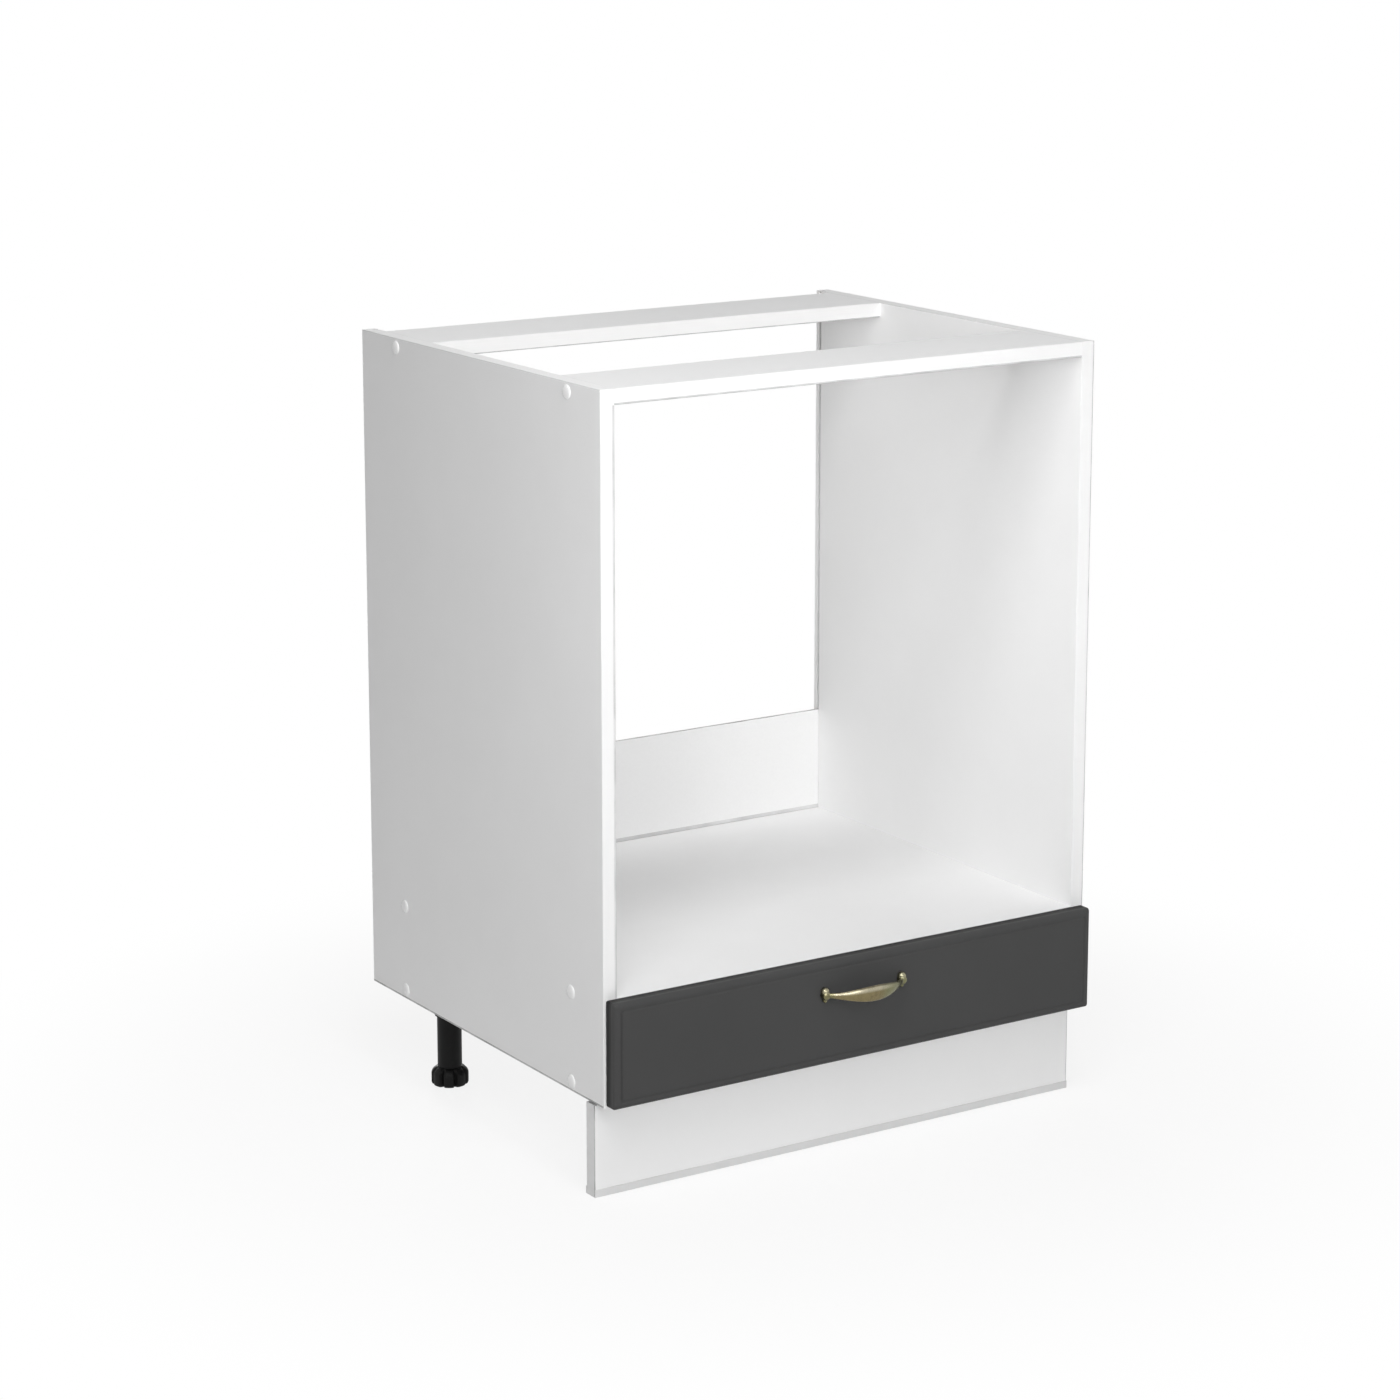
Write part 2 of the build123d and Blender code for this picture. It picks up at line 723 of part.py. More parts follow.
def box_side(side):
    with BuildPart() as piece:
        with BuildSketch(Plane.YZ.offset(side * x_box_in)):
            with Locations(((y_box + y_box_end) / 2, (z_box + z_box_top) / 2)):
                Rectangle(box_depth, box_height)
        extrude(amount=side * board)
        with BuildSketch(Plane.YZ.offset(side * x_box)):
            with Locations(*box_screw_points):
                Circle(confirmat_neck_r + bore_play)
        extrude(amount=-side * board, mode=Mode.SUBTRACT)
        with BuildSketch(Plane.YZ.offset(side * x_box)):
            with Locations(*box_screw_points):
                Circle(confirmat_head_r + bore_play)
        extrude(amount=-side * confirmat_head, mode=Mode.SUBTRACT)
        with BuildSketch(Plane.XY.offset(z_box)):
            with Locations(*[(side * (x_box - board / 2), y_runner + hole) for hole in runner_screw_holes]):
                Circle(screw_r + bore_play)
        extrude(amount=screw_length - steel - bottom_thick + bore_play, mode=Mode.SUBTRACT)
    return piece


def box_wall(y_near):
    """The wall across the box that starts at depth y_near."""
    with BuildPart() as piece:
        with BuildSketch(Plane.XY.offset(z_box)):
            with Locations((0, y_near + board / 2)):
                Rectangle(2 * x_box_in, board)
        extrude(amount=box_height)
        for side in (-1, 1):
            with BuildSketch(Plane.YZ.offset(side * x_box_in)):
                with Locations(*[(y_near + board / 2, z) for z in box_screw_levels]):
                    Circle(confirmat_thread_r + bore_play)
            extrude(amount=side * (board - confirmat_length - bore_end), mode=Mode.SUBTRACT)
        with BuildSketch(Plane.XY.offset(z_box)):
            with Locations(*[(x, y_near + board / 2) for x in bottom_nail_columns]):
                Circle(nail_r + bore_play)
        extrude(amount=nail_length - bottom_thick + bore_play, mode=Mode.SUBTRACT)
    return piece


bottom_nail_columns = [x_box_in * share for share in (-0.7, -0.25, 0.25, 0.7)]
for side, name in ((-1, "left"), (1, "right")):
    save(box_side(side), f"drawer_side_{name}")

with BuildPart() as inner_front:
    add(box_wall(y_box).part)
    with BuildSketch(at_depth(y_box)):
        with Locations((0, z_box_middle)):
            with GridLocations(2 * front_screw_x, front_screw_rise, 2, 2):
                Circle(screw_r + bore_play)
        # Room for the heads of the handle screws, which sit above this wall.
        with Locations((-handle_spacing / 2, z_handle), (handle_spacing / 2, z_handle)):
            Circle(machine_head_r + front_gap / 3)
    extrude(amount=-board, mode=Mode.SUBTRACT)
save(inner_front, "drawer_inner_front")
save(box_wall(y_box_end - board), "drawer_back")

with BuildPart() as drawer_bottom:
    with BuildSketch(Plane.XY.offset(z_thin_bottom)):
        with Locations((0, (y_box + y_box_end) / 2)):
            Rectangle(2 * x_box, box_depth)
        for y in (y_inner_front, y_inner_back):
            with Locations(*[(x, y) for x in bottom_nail_columns]):
                Circle(nail_r + bore_play, mode=Mode.SUBTRACT)
        for side in (-1, 1):
            with Locations(*[(side * (x_box - board / 2), y_runner + hole) for hole in runner_screw_holes]):
                Circle(screw_r + bore_play, mode=Mode.SUBTRACT)
    extrude(amount=bottom_thick)
save(drawer_bottom, "drawer_bottom")

bottom_nail_places = [
    Plane(origin=(x, y, z_thin_bottom), z_dir=(0, 0, -1))
    for y in (y_inner_front, y_inner_back)
    for x in bottom_nail_columns
]
save(placed(nail(), bottom_nail_places), "drawer_bottom_nails")

box_screw_places = [
    Plane(origin=(side * x_box, y, z), z_dir=(side, 0, 0))
    for side in (-1, 1)
    for y, z in box_screw_points
]
save(placed(confirmat(), box_screw_places), "drawer_box_screws")

front_screw_places = [
    Plane(origin=(x, y_box + board, z_box_middle + dz), z_dir=(0, 1, 0))
    for x in (-front_screw_x, front_screw_x)
    for dz in (-front_screw_rise / 2, front_screw_rise / 2)
]
front_screw = pan_screw(screw_r, screw_head_r, screw_head, front_screw_length)
save(placed(front_screw, front_screw_places), "drawer_front_screws")


# Roller runners. Gap coordinates count inwards from the side panel's inner face.
def gap_x(side, inwards):
    return side * (x_in - inwards)


def runner_profile(side, outline, start, length):
    """A bent steel profile from its (inwards, height) outline, running rearwards."""
    with BuildPart() as bent:
        with BuildSketch(at_depth(start)):
            with BuildLine():
                Polyline(*[(gap_x(side, inwards), z) for inwards, z in outline], close=True)
            make_face()
        extrude(amount=-length)
    return bent.part


def cabinet_runner(side):
    z_high = z_channel + channel_height
    with BuildPart() as profile:
        add(runner_profile(side, [
            (0, z_channel),
            (channel_flange, z_channel),
            (channel_flange, z_roll),
            (steel, z_roll),
            (steel, z_roll_top),
            (channel_flange, z_roll_top),
            (channel_flange, z_high),
            (0, z_high),
        ], y_runner, runner_length))
        with BuildSketch(Plane.YZ.offset(side * x_in)):
            with Locations(*[(y_runner + hole, z_front_roller) for hole in runner_screw_holes]):
                Circle(screw_r + bore_play)
            with Locations((y_front_roller, z_front_roller)):
                Circle(pin_r)
            with Locations(*[(y_runner + slot, z_front_roller) for slot in runner_slots]):
                SlotOverall(slot_length, slot_width)
        extrude(amount=-side * steel, mode=Mode.SUBTRACT)
        # A tab bent across the rear end, and a pressed ridge that stops the open drawer.
        with BuildSketch(at_depth(y_runner + runner_length)):
            with Locations((gap_x(side, channel_flange / 2), z_channel + end_tab_height / 2)):
                Rectangle(channel_flange, end_tab_height)
        extrude(amount=steel)
        y_stop = y_runner + stop_from_front
        with BuildSketch(Plane.YZ.offset(gap_x(side, steel))):
            with BuildLine():
                ends = [(y_stop - stop_half_length, z_roll), (y_stop + stop_half_length, z_roll)]
                Line(*ends)
                ThreePointArc(ends[0], (y_stop, z_roll + stop_height), ends[1])
            make_face()
        extrude(amount=-side * (channel_flange - steel))
    return profile


def drawer_runner(side):
    web = side_gap - steel
    z_flange_high = z_top_flange + steel
    flange_end = rear_roller_r + rear_roller_set + front_gap
    with BuildPart() as profile:
        add(runner_profile(side, [
            (web, z_under_flange),
            (side_gap + under_flange, z_under_flange),
            (side_gap + under_flange, z_thin_bottom),
            (side_gap, z_thin_bottom),
            (side_gap, z_flange_high),
            (web, z_flange_high),
        ], y_runner, drawer_runner_length))
        add(runner_profile(side, [
            (top_flange_edge, z_top_flange),
            (web, z_top_flange),
            (web, z_flange_high),
            (top_flange_edge, z_flange_high),
        ], y_runner, drawer_runner_length - flange_end))
        with BuildSketch(Plane.YZ.offset(gap_x(side, side_gap))):
            with Locations((y_rear_roller, z_rear_roller)):
                Circle(pin_r)
        extrude(amount=side * steel, mode=Mode.SUBTRACT)
        with BuildSketch(Plane.XY.offset(z_under_flange)):
            with Locations(*[(side * (x_box - board / 2), y_runner + hole) for hole in runner_screw_holes]):
                Circle(screw_r + bore_play)
        extrude(amount=steel, mode=Mode.SUBTRACT)
    return profile


def roller(side, inner_end, direction, y, z, radius):
    """A nylon roller. It starts inner_end from the panel and runs in direction along the gap."""
    start = gap_x(side, inner_end)
    with BuildPart() as wheel:
        with BuildSketch(Plane.YZ.offset(start)):
            with Locations((y, z)):
                Circle(radius)
                Circle(pin_r + roller_bore_play, mode=Mode.SUBTRACT)
        extrude(amount=-side * direction * roller_width)
        rims = wheel.edges().filter_by(GeomType.CIRCLE).group_by(SortBy.RADIUS)[-1]
        chamfer(rims, length=roller_edge)
        with BuildSketch(Plane.YZ.offset(start - side * direction * roller_width)):
            with Locations((y, z)):
                Circle(pin_head_r + recess_play)
        extrude(amount=side * direction * pin_recess, mode=Mode.SUBTRACT)
    return wheel


def roller_pin(length):
    """A riveted pin with its flat head at Z = 0 and its shank below."""
    return turned([
        (0, 0),
        (pin_head_r, 0),
        (pin_head_r, -pin_head),
        (pin_r, -pin_head),
        (pin_r, -length),
        (0, -length),
    ])


front_roller_start = steel + roller_web_play
rear_roller_start = side_gap - steel - roller_web_play
head_inset = pin_recess - pin_head - roller_bore_play
front_pin_top = front_roller_start + roller_width - head_inset
rear_pin_top = rear_roller_start - roller_width + head_inset
front_pin_places = []
rear_pin_places = []
for side, name in ((-1, "left"), (1, "right")):
    save(cabinet_runner(side), f"cabinet_runner_{name}")
    save(drawer_runner(side), f"drawer_runner_{name}")
    front_wheel = roller(side, front_roller_start, 1, y_front_roller, z_front_roller, front_roller_r)
    save(front_wheel, f"front_roller_{name}")
    rear_wheel = roller(side, rear_roller_start, -1, y_rear_roller, z_rear_roller, rear_roller_r)
    save(rear_wheel, f"rear_roller_{name}")
    front_spot = (gap_x(side, front_pin_top), y_front_roller, z_front_roller)
    front_pin_places.append(Plane(origin=front_spot, z_dir=(-side, 0, 0)))
    rear_spot = (gap_x(side, rear_pin_top), y_rear_roller, z_rear_roller)
    rear_pin_places.append(Plane(origin=rear_spot, z_dir=(side, 0, 0)))
save(placed(roller_pin(front_pin_top), front_pin_places), "cabinet_roller_pins")
save(placed(roller_pin(side_gap - rear_pin_top), rear_pin_places), "drawer_roller_pins")

cabinet_runner_screw_places = [
    Plane(origin=(gap_x(side, steel), y_runner + hole, z_front_roller), z_dir=(-side, 0, 0))
    for side in (-1, 1)
    for hole in runner_screw_holes
]
save(placed(short_screw, cabinet_runner_screw_places), "cabinet_runner_screws")
drawer_runner_screw_places = [
    Plane(origin=(side * (x_box - board / 2), y_runner + hole, z_under_flange), z_dir=(0, 0, -1))
    for side in (-1, 1)
    for hole in runner_screw_holes
]
save(placed(short_screw, drawer_runner_screw_places), "drawer_runner_screws")
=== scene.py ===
# %% [markdown]
# # An oven housing cabinet, dressed for its picture
#
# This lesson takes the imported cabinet, a floor-standing kitchen unit that
# carries a built-in oven, and gives it the finishes of the real thing.
# Nothing is measured again: every piece starts from the box or the mesh of
# the node that it stands for, in metres, so it lands where the frame says.

import json
import math

import bmesh
import bpy
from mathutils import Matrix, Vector

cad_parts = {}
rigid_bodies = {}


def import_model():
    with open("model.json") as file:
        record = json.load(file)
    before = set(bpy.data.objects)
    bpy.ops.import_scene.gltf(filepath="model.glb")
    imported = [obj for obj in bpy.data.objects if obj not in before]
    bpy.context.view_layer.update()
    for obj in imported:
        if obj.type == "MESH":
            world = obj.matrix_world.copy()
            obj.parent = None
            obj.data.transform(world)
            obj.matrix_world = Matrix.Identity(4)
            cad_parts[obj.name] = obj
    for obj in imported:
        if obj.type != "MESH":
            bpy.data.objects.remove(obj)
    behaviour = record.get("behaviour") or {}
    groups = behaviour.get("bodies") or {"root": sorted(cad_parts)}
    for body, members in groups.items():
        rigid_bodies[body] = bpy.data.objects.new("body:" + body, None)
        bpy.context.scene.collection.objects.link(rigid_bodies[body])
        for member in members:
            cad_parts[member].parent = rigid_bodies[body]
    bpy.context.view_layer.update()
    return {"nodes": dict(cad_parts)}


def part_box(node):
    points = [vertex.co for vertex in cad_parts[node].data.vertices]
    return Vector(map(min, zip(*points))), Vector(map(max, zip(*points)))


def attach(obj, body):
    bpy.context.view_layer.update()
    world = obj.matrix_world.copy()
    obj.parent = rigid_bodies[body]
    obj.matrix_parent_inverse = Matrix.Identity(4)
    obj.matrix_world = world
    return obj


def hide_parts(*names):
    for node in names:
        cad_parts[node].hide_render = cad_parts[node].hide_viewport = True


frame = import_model()
MM = 0.001

# %% [markdown]
# ## Tools for materials
#
# A material in Blender is a small graph, and a few helpers keep it short. One
# turns the hex colour of a paint chart into the linear values that the
# renderer adds up. One turns a real size into a pattern scale. One adds a node
# and fills or links its sockets. Sockets that share a name are given by number:
# a colour Mix has its share at 0, its colours at 6 and 7 and its result at
# output 2, and a Map Range has its value at 0, the old range at 1 and 2 and
# the new one at 3 and 4. Two more helpers lay coats of colour over each other
# and join the finished colour, roughness and relief to the surface.

# %% Helpers for node graphs
def linear(hex_colour):
    """Linear red, green, blue and alpha of an sRGB hex colour."""
    channels = [int(hex_colour[start:start + 2], 16) / 255 for start in (1, 3, 5)]
    return [c / 12.92 if c <= 0.04045 else ((c + 0.055) / 1.055) ** 2.4 for c in channels] + [1.0]


def per_metre(millimetres):
    """Pattern scale whose features repeat about every so many millimetres."""
    return 1000.0 / millimetres


def node(tree, kind, inputs=None, **settings):
    """Add a node. A socket given as an input is linked, any other value is written."""
    made = tree.nodes.new(kind)
    for name, value in settings.items():
        setattr(made, name, value)
    for key, value in (inputs or {}).items():
        if isinstance(value, bpy.types.NodeSocket):
            tree.links.new(value, made.inputs[key])
        else:
            made.inputs[key].default_value = value
    return made


def start_finish(name, **constants):
    """An empty finish: its material, its graph, its surface shader and its object coordinates."""
    material = bpy.data.materials.new(name)
    material.use_nodes = True
    tree = material.node_tree
    tree.nodes.clear()
    surface = node(tree, "ShaderNodeBsdfPrincipled", constants)
    node(tree, "ShaderNodeOutputMaterial", {"Surface": surface.outputs[0]})
    return material, tree, surface, node(tree, "ShaderNodeTexCoord").outputs["Object"]


def coats(tree, ground, *layers):
    """Colour of a ground, a hex colour or a socket, under layers that each have a share and a hex colour."""
    colour = linear(ground) if isinstance(ground, str) else ground
    for share, layer in layers:
        mixed = {0: share, 6: colour, 7: linear(layer)}
        colour = node(tree, "ShaderNodeMix", mixed, data_type="RGBA").outputs[2]
    return colour


def complete(tree, surface, colour, roughness, height, strength, relief_mm):
    """Join a colour, a roughness, unless it is None, and a relief of this height to the surface."""
    relief = node(tree, "ShaderNodeBump", {"Height": height, "Strength": strength, "Distance": relief_mm * MM})
    for name, socket in {"Base Color": colour, "Roughness": roughness, "Normal": relief.outputs[0]}.items():
        if socket is not None:
            tree.links.new(socket, surface.inputs[name])


# %% [markdown]
# ## White melamine
#
# The boards are chipboard pressed between two sheets of paper soaked in
# melamine resin. The press plate leaves a fine pearl grain that breaks every
# reflection a little, which is why such a board looks silky and not glossy.
# The eye also reads faint clouds in the white. A photograph of a board would
# fix one size and one place for this, so noise in object space draws it
# instead. The bevels of each board carry an attribute that says how much
# painted grey shade lies along that edge, and noise makes it stronger in some
# patches than in others.

# %% White melamine finish
def with_painted_rim_shade(tree, place, clean, shade_grey, patch_mm=30):
    """Colour with painted grey shade along the rim, stronger in some patches."""
    rim = node(tree, "ShaderNodeAttribute", attribute_name="rim").outputs["Fac"]
    patches = node(tree, "ShaderNodeTexNoise", {"Vector": place, "Scale": per_metre(patch_mm), "Detail": 4.0})
    strong = node(tree, "ShaderNodeMapRange", {0: patches.outputs["Fac"], 1: 0.4, 2: 0.66, 3: 0.6, 4: 1.0})
    share = node(tree, "ShaderNodeMath", {0: rim, 1: strong.outputs[0]}, operation="MULTIPLY").outputs[0]
    return coats(tree, clean, (share, shade_grey))


def melamine(name, light, shade, roughness, grain_mm=1.5):
    """Pressed melamine face: clouds of two near whites, a pearl grain and painted grey shade on the rims."""
    material, tree, surface, place = start_finish(name)
    clouds = node(tree, "ShaderNodeTexNoise", {"Vector": place, "Scale": per_metre(85), "Detail": 3.0}).outputs["Fac"]
    # The real grain is about 0.5 mm. It is drawn three times as coarse, so that it still shows.
    cells = node(tree, "ShaderNodeTexVoronoi", {"Vector": place, "Scale": per_metre(grain_mm)}, feature="SMOOTH_F1")
    grain = cells.outputs["Distance"]
    gloss = node(tree, "ShaderNodeMapRange", {0: grain, 3: roughness - 0.05, 4: roughness + 0.07}).outputs[0]
    # The grey along the rims is painted shade.
    white = with_painted_rim_shade(tree, place, coats(tree, light, (clouds, shade)), "#999999")
    complete(tree, surface, white, gloss, grain, strength=0.35, relief_mm=0.02)
    return material


white_melamine = melamine("white_melamine", "#f7f7f7", "#f2f2f2", 0.42)
plinth_laminate = melamine("plinth_laminate", "#fafafa", "#f5f5f5", 0.46, grain_mm=2.0)
print("melamine grain:", round(per_metre(1.5)), "cells in a metre")

# %% [markdown]
# ## Cut chipboard
#
# Edges that face the wall or the floor are left without a band, so there the
# chips of the core show: splinters of pale and brown wood in glue. Cells of a
# Voronoi pattern stand for the chips. Each cell has a tone of its own, and
# where it is far from its middle the darker glue shows. The same distance
# makes the chips stand a little proud. Hardboard is pressed from far finer
# fibres, so it gets the same graph with smaller and browner cells.

# %% Cut chipboard finish
def chipboard(name, chip_mm, pale, brown, glue):
    """Raw core, rough, with gaps of glue between its chips."""
    material, tree, surface, place = start_finish(name, Roughness=0.9)
    chips = node(tree, "ShaderNodeTexVoronoi", {"Vector": place, "Scale": per_metre(chip_mm), "Randomness": 1.0})
    tone = node(tree, "ShaderNodeSeparateColor", {0: chips.outputs["Color"]}).outputs["Red"]
    off_middle = chips.outputs["Distance"]
    gap = node(tree, "ShaderNodeMapRange", {0: off_middle, 1: 0.35, 2: 0.75}).outputs[0]
    core = coats(tree, pale, (tone, brown), (gap, glue))
    complete(tree, surface, core, None, off_middle, strength=0.8, relief_mm=-0.2)
    return material


chip_core = chipboard("cut_chipboard", 2.4, "#d3bb95", "#b0906a", "#8b6c4a")
brown_hardboard = chipboard("brown_hardboard", 1.3, "#8f6f50", "#7b5d41", "#684c33")

# %% [markdown]
# ## Edge band, thin board and caps
#
# The band on the front edges is extruded ABS, a touch whiter and smoother than
# the faces, with faint lines along its length from the die. The back strip is
# hardboard with one lacquered face. The caps over the screws are moulded, so
# they are the glossiest white on the cabinet and catch a small bright spot.
# The runners are rolled steel under a white epoxy coat, whose faint lines run
# the way the steel was drawn.

# %% Whites that are not melamine
def drawn_white(name, light, shade, roughness, stretch, line_mm, relief_mm):
    """A smooth white with fine lines along one axis, from a die or a roller."""
    material, tree, surface, place = start_finish(name)
    along = node(tree, "ShaderNodeMapping", {"Vector": place, "Scale": stretch}).outputs[0]
    streaks = node(tree, "ShaderNodeTexNoise", {"Vector": along, "Scale": per_metre(line_mm), "Detail": 2.0})
    lines = streaks.outputs["Fac"]
    gloss = node(tree, "ShaderNodeMapRange", {0: lines, 3: roughness - 0.06, 4: roughness + 0.08}).outputs[0]
    # The grey along the rims is painted shade.
    white = with_painted_rim_shade(tree, place, coats(tree, light, (lines, shade)), "#a2a2a2")
    complete(tree, surface, white, gloss, lines, strength=0.5, relief_mm=relief_mm)
    return material


# Light and darker colour, roughness, stretch on each axis, then spacing and relief of the lines in mm.
upright_band = drawn_white("abs_edge_band_upright", "#f9f9f9", "#f5f5f5", 0.34, (1, 1, 0.03), 1.6, 0.02)
level_band = drawn_white("abs_edge_band_level", "#f9f9f9", "#f5f5f5", 0.34, (0.03, 1, 1), 1.6, 0.02)
lacquered_hardboard = drawn_white("lacquered_hardboard", "#f4f4f4", "#efefef", 0.5, (1, 1, 1), 3.0, 0.03)
cap_plastic = drawn_white("moulded_white_cap", "#f7f7f7", "#f3f3f3", 0.24, (1, 1, 1), 4.0, 0.02)
runner_enamel = drawn_white("epoxy_coated_steel", "#efefec", "#e8e8e4", 0.3, (1, 0.4, 1), 1.8, 0.03)

# %% [markdown]
# ## Graphite film
#
# The drawer front is fibreboard under a matt film that was sucked down warm
# over the milled shape. The film is even in colour, and its surface has a very
# fine leather-like grain that spreads the light: dark, soft and without any
# mirror. Handling polishes the film a little, so its roughness wanders in wide
# patches. Over the rounds, down the narrow sides and in the milled line the
# film is painted darker, as shade. That is a matter of place, so the mesh
# carries it as an attribute.

# %% Graphite film finish
graphite_film, tree, surface, place = start_finish("matt_graphite_film", **{"Specular IOR Level": 0.16})
patches = node(tree, "ShaderNodeTexNoise", {"Vector": place, "Scale": per_metre(120), "Detail": 3.0}).outputs["Fac"]
# The real grain is near 0.3 mm, too fine for the picture, so it is drawn three times as coarse.
grain = node(tree, "ShaderNodeTexNoise", {"Vector": place, "Scale": per_metre(0.9), "Detail": 2.0}).outputs["Fac"]
speck = node(tree, "ShaderNodeMapRange", {0: grain, 1: 0.3, 2: 0.7, 3: 0.0, 4: 0.25}).outputs[0]
drawn = node(tree, "ShaderNodeAttribute", attribute_name="drawn").outputs["Fac"]
handled = node(tree, "ShaderNodeMapRange", {0: patches, 1: 0.3, 2: 0.7, 3: 0.5, 4: 0.6}).outputs[0]
# The darkest coat is painted shade on the narrow sides, the rounds and the milled line.
film = coats(tree, "#494949", (patches, "#454545"), (speck, "#393939"), (drawn, "#181818"))
complete(tree, surface, film, handled, grain, strength=0.4, relief_mm=0.04)

# %% [markdown]
# ## Antique brass
#
# The handle is cast zinc with a brass plating that was blackened and then
# rubbed back. The left of the leaf is warm brown, and its right half and its
# feet tend to olive. A paler metal along the upper edge of the leaf and on the
# tops of the balls is a painted highlight. The dark on the rims and on the side
# that faces the drawer is patina and painted shade together. Where each of
# these sits is a matter of shape, so the mesh carries them as attributes, and
# noise breaks the border of the dark. A thin lacquer over it all gives
# highlights that are paler than the brass.

# %% Antique brass finish
lacquer = {"Metallic": 1.0, "Coat Weight": 0.7, "Coat Roughness": 0.2}
antique_brass, tree, surface, place = start_finish("rubbed_antique_brass", **lacquer)
patina, olive, rubbed = (
    node(tree, "ShaderNodeAttribute", attribute_name=name).outputs["Fac"] for name in ("patina", "olive", "rubbed")
)
blots = {"Vector": place, "Scale": per_metre(5), "Detail": 5.0, "Roughness": 0.6}
stains = node(tree, "ShaderNodeTexNoise", blots).outputs["Fac"]
ragged = node(tree, "ShaderNodeMath", {0: stains, 1: 0.5}, operation="SUBTRACT").outputs[0]
uneven = node(tree, "ShaderNodeMath", {0: ragged, 1: 0.9, 2: patina}, operation="MULTIPLY_ADD", use_clamp=True)
dark = uneven.outputs[0]
polish = node(tree, "ShaderNodeMapRange", {0: dark, 3: 0.26, 4: 0.5}).outputs[0]
brushing = node(tree, "ShaderNodeMapping", {"Vector": place, "Scale": (0.15, 1, 1)}).outputs[0]
scratches = node(tree, "ShaderNodeTexNoise", {"Vector": brushing, "Scale": per_metre(0.5), "Detail": 2.0})
# The pale coat is a painted highlight, and the darkest coat patina and painted shade.
brass = coats(tree, "#837650", (stains, "#6b603d"), (olive, "#6e6d48"), (rubbed, "#b9b39c"), (dark, "#2e291b"))
complete(tree, surface, brass, polish, scratches.outputs["Fac"], strength=0.3, relief_mm=0.02)

# %% [markdown]
# ## Moulded and rolled small parts
#
# Legs and feet are black polypropylene from a spark-eroded mould, which gives
# an even, slightly greasy grain. The clips are the same plastic in natural
# grey. The sealing profile is soft PVC, so cloudy that a pale grey stands for
# the little light that it lets through. The rollers are unfilled nylon, waxy
# and warm. Screws, nails and pins are steel with bright zinc, whose crystals
# show as faint patches of different grey.

# %% Plastics and zinc
def moulded(name, body, shade, roughness, grain_mm, **constants):
    """Plastic with a moulded grain and a faint flow pattern in its colour."""
    material, tree, surface, place = start_finish(name, **constants)
    flowing = {"Vector": place, "Scale": per_metre(22), "Detail": 3.0, "Distortion": 0.6}
    flow = node(tree, "ShaderNodeTexNoise", flowing).outputs["Fac"]
    sparks = node(tree, "ShaderNodeTexNoise", {"Vector": place, "Scale": per_metre(grain_mm), "Detail": 1.0})
    grain = sparks.outputs["Fac"]
    ends = {0: grain, 1: 0.3, 2: 0.7, 3: roughness - 0.07, 4: roughness + 0.08}
    gloss = node(tree, "ShaderNodeMapRange", ends).outputs[0]
    complete(tree, surface, coats(tree, body, (flow, shade)), gloss, grain, strength=0.5, relief_mm=0.05)
    return material


low_gloss = {"Specular IOR Level": 0.16}
black_plastic = moulded("moulded_black_polypropylene", "#0e0e0e", "#090909", 0.5, 0.9, **low_gloss)
clip_plastic = moulded("moulded_grey_polypropylene", "#d2d2ce", "#c8c8c3", 0.4, 1.1)
seal_pvc = moulded("soft_clear_pvc", "#e4e4e4", "#dadada", 0.35, 3.0)
roller_nylon = moulded("natural_nylon", "#ebe8df", "#e0dccf", 0.36, 2.5)

bright_zinc, tree, surface, place = start_finish("bright_zinc_plating", Metallic=1.0)
crystals = node(tree, "ShaderNodeTexVoronoi", {"Vector": place, "Scale": per_metre(1.1)})
patch = node(tree, "ShaderNodeSeparateColor", {0: crystals.outputs["Color"]}).outputs["Green"]
gloss = node(tree, "ShaderNodeMapRange", {0: patch, 3: 0.26, 4: 0.4}).outputs[0]
zinc = coats(tree, "#c4c6c6", (patch, "#aeb1b4"))
complete(tree, surface, zinc, gloss, crystals.outputs["Distance"], strength=0.25, relief_mm=0.03)
print("finishes so far:", len(bpy.data.materials))

# %% [markdown]
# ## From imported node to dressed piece
#
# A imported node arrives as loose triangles. A copy is joined at its shared
# corners, and triangles that lie in one plane are dissolved into whole faces,
# which leaves the long edges of a board as single edges. Only those long edges
# are bevelled, so bores keep their round rims. A real board has no knife edge
# either, and the narrow bevel is what draws its bright outline. Weighted
# normals then keep the large faces flat while the bevels shade softly.

# %% Helpers for pieces
# Corners this near to each other are one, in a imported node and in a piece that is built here.
PACKED_WELD, BUILT_WELD = 0.005 * MM, 0.002 * MM
# Faces that turn away from each other by less than this are one.
FLAT_DEGREES = 0.4


def welded_copy(name):
    """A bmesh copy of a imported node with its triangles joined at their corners."""
    shape = bmesh.new()
    shape.from_mesh(frame["nodes"][name].data)
    bmesh.ops.remove_doubles(shape, verts=shape.verts, dist=PACKED_WELD)
    return shape


def joined_copy(name):
    """A welded copy with the triangles of each plane joined into whole faces."""
    shape = welded_copy(name)
    flat = math.radians(FLAT_DEGREES)
    bmesh.ops.dissolve_limit(shape, angle_limit=flat, verts=shape.verts, edges=shape.edges)
    return shape


def everything(shape):
    """All vertices, edges and faces of a shape."""
    return shape.verts[:] + shape.edges[:] + shape.faces[:]


def skin(shape, rings):
    """Join neighbouring rings of vertices by walls, and give the faces of each wall."""
    walls = []
    for outer, inner in zip(rings, rings[1:]):
        corners = zip(outer, outer[1:] + outer[:1], inner[1:] + inner[:1], inner)
        walls.append([shape.faces.new(four) for four in corners])
    return walls


def new_piece(name, shape, finishes):
    """An object from a bmesh, with its finishes in slot order."""
    mesh = bpy.data.meshes.new(name)
    shape.to_mesh(mesh)
    shape.free()
    for finish in finishes:
        mesh.materials.append(finish)
    piece = bpy.data.objects.new(name, mesh)
    bpy.context.scene.collection.objects.link(piece)
    return piece


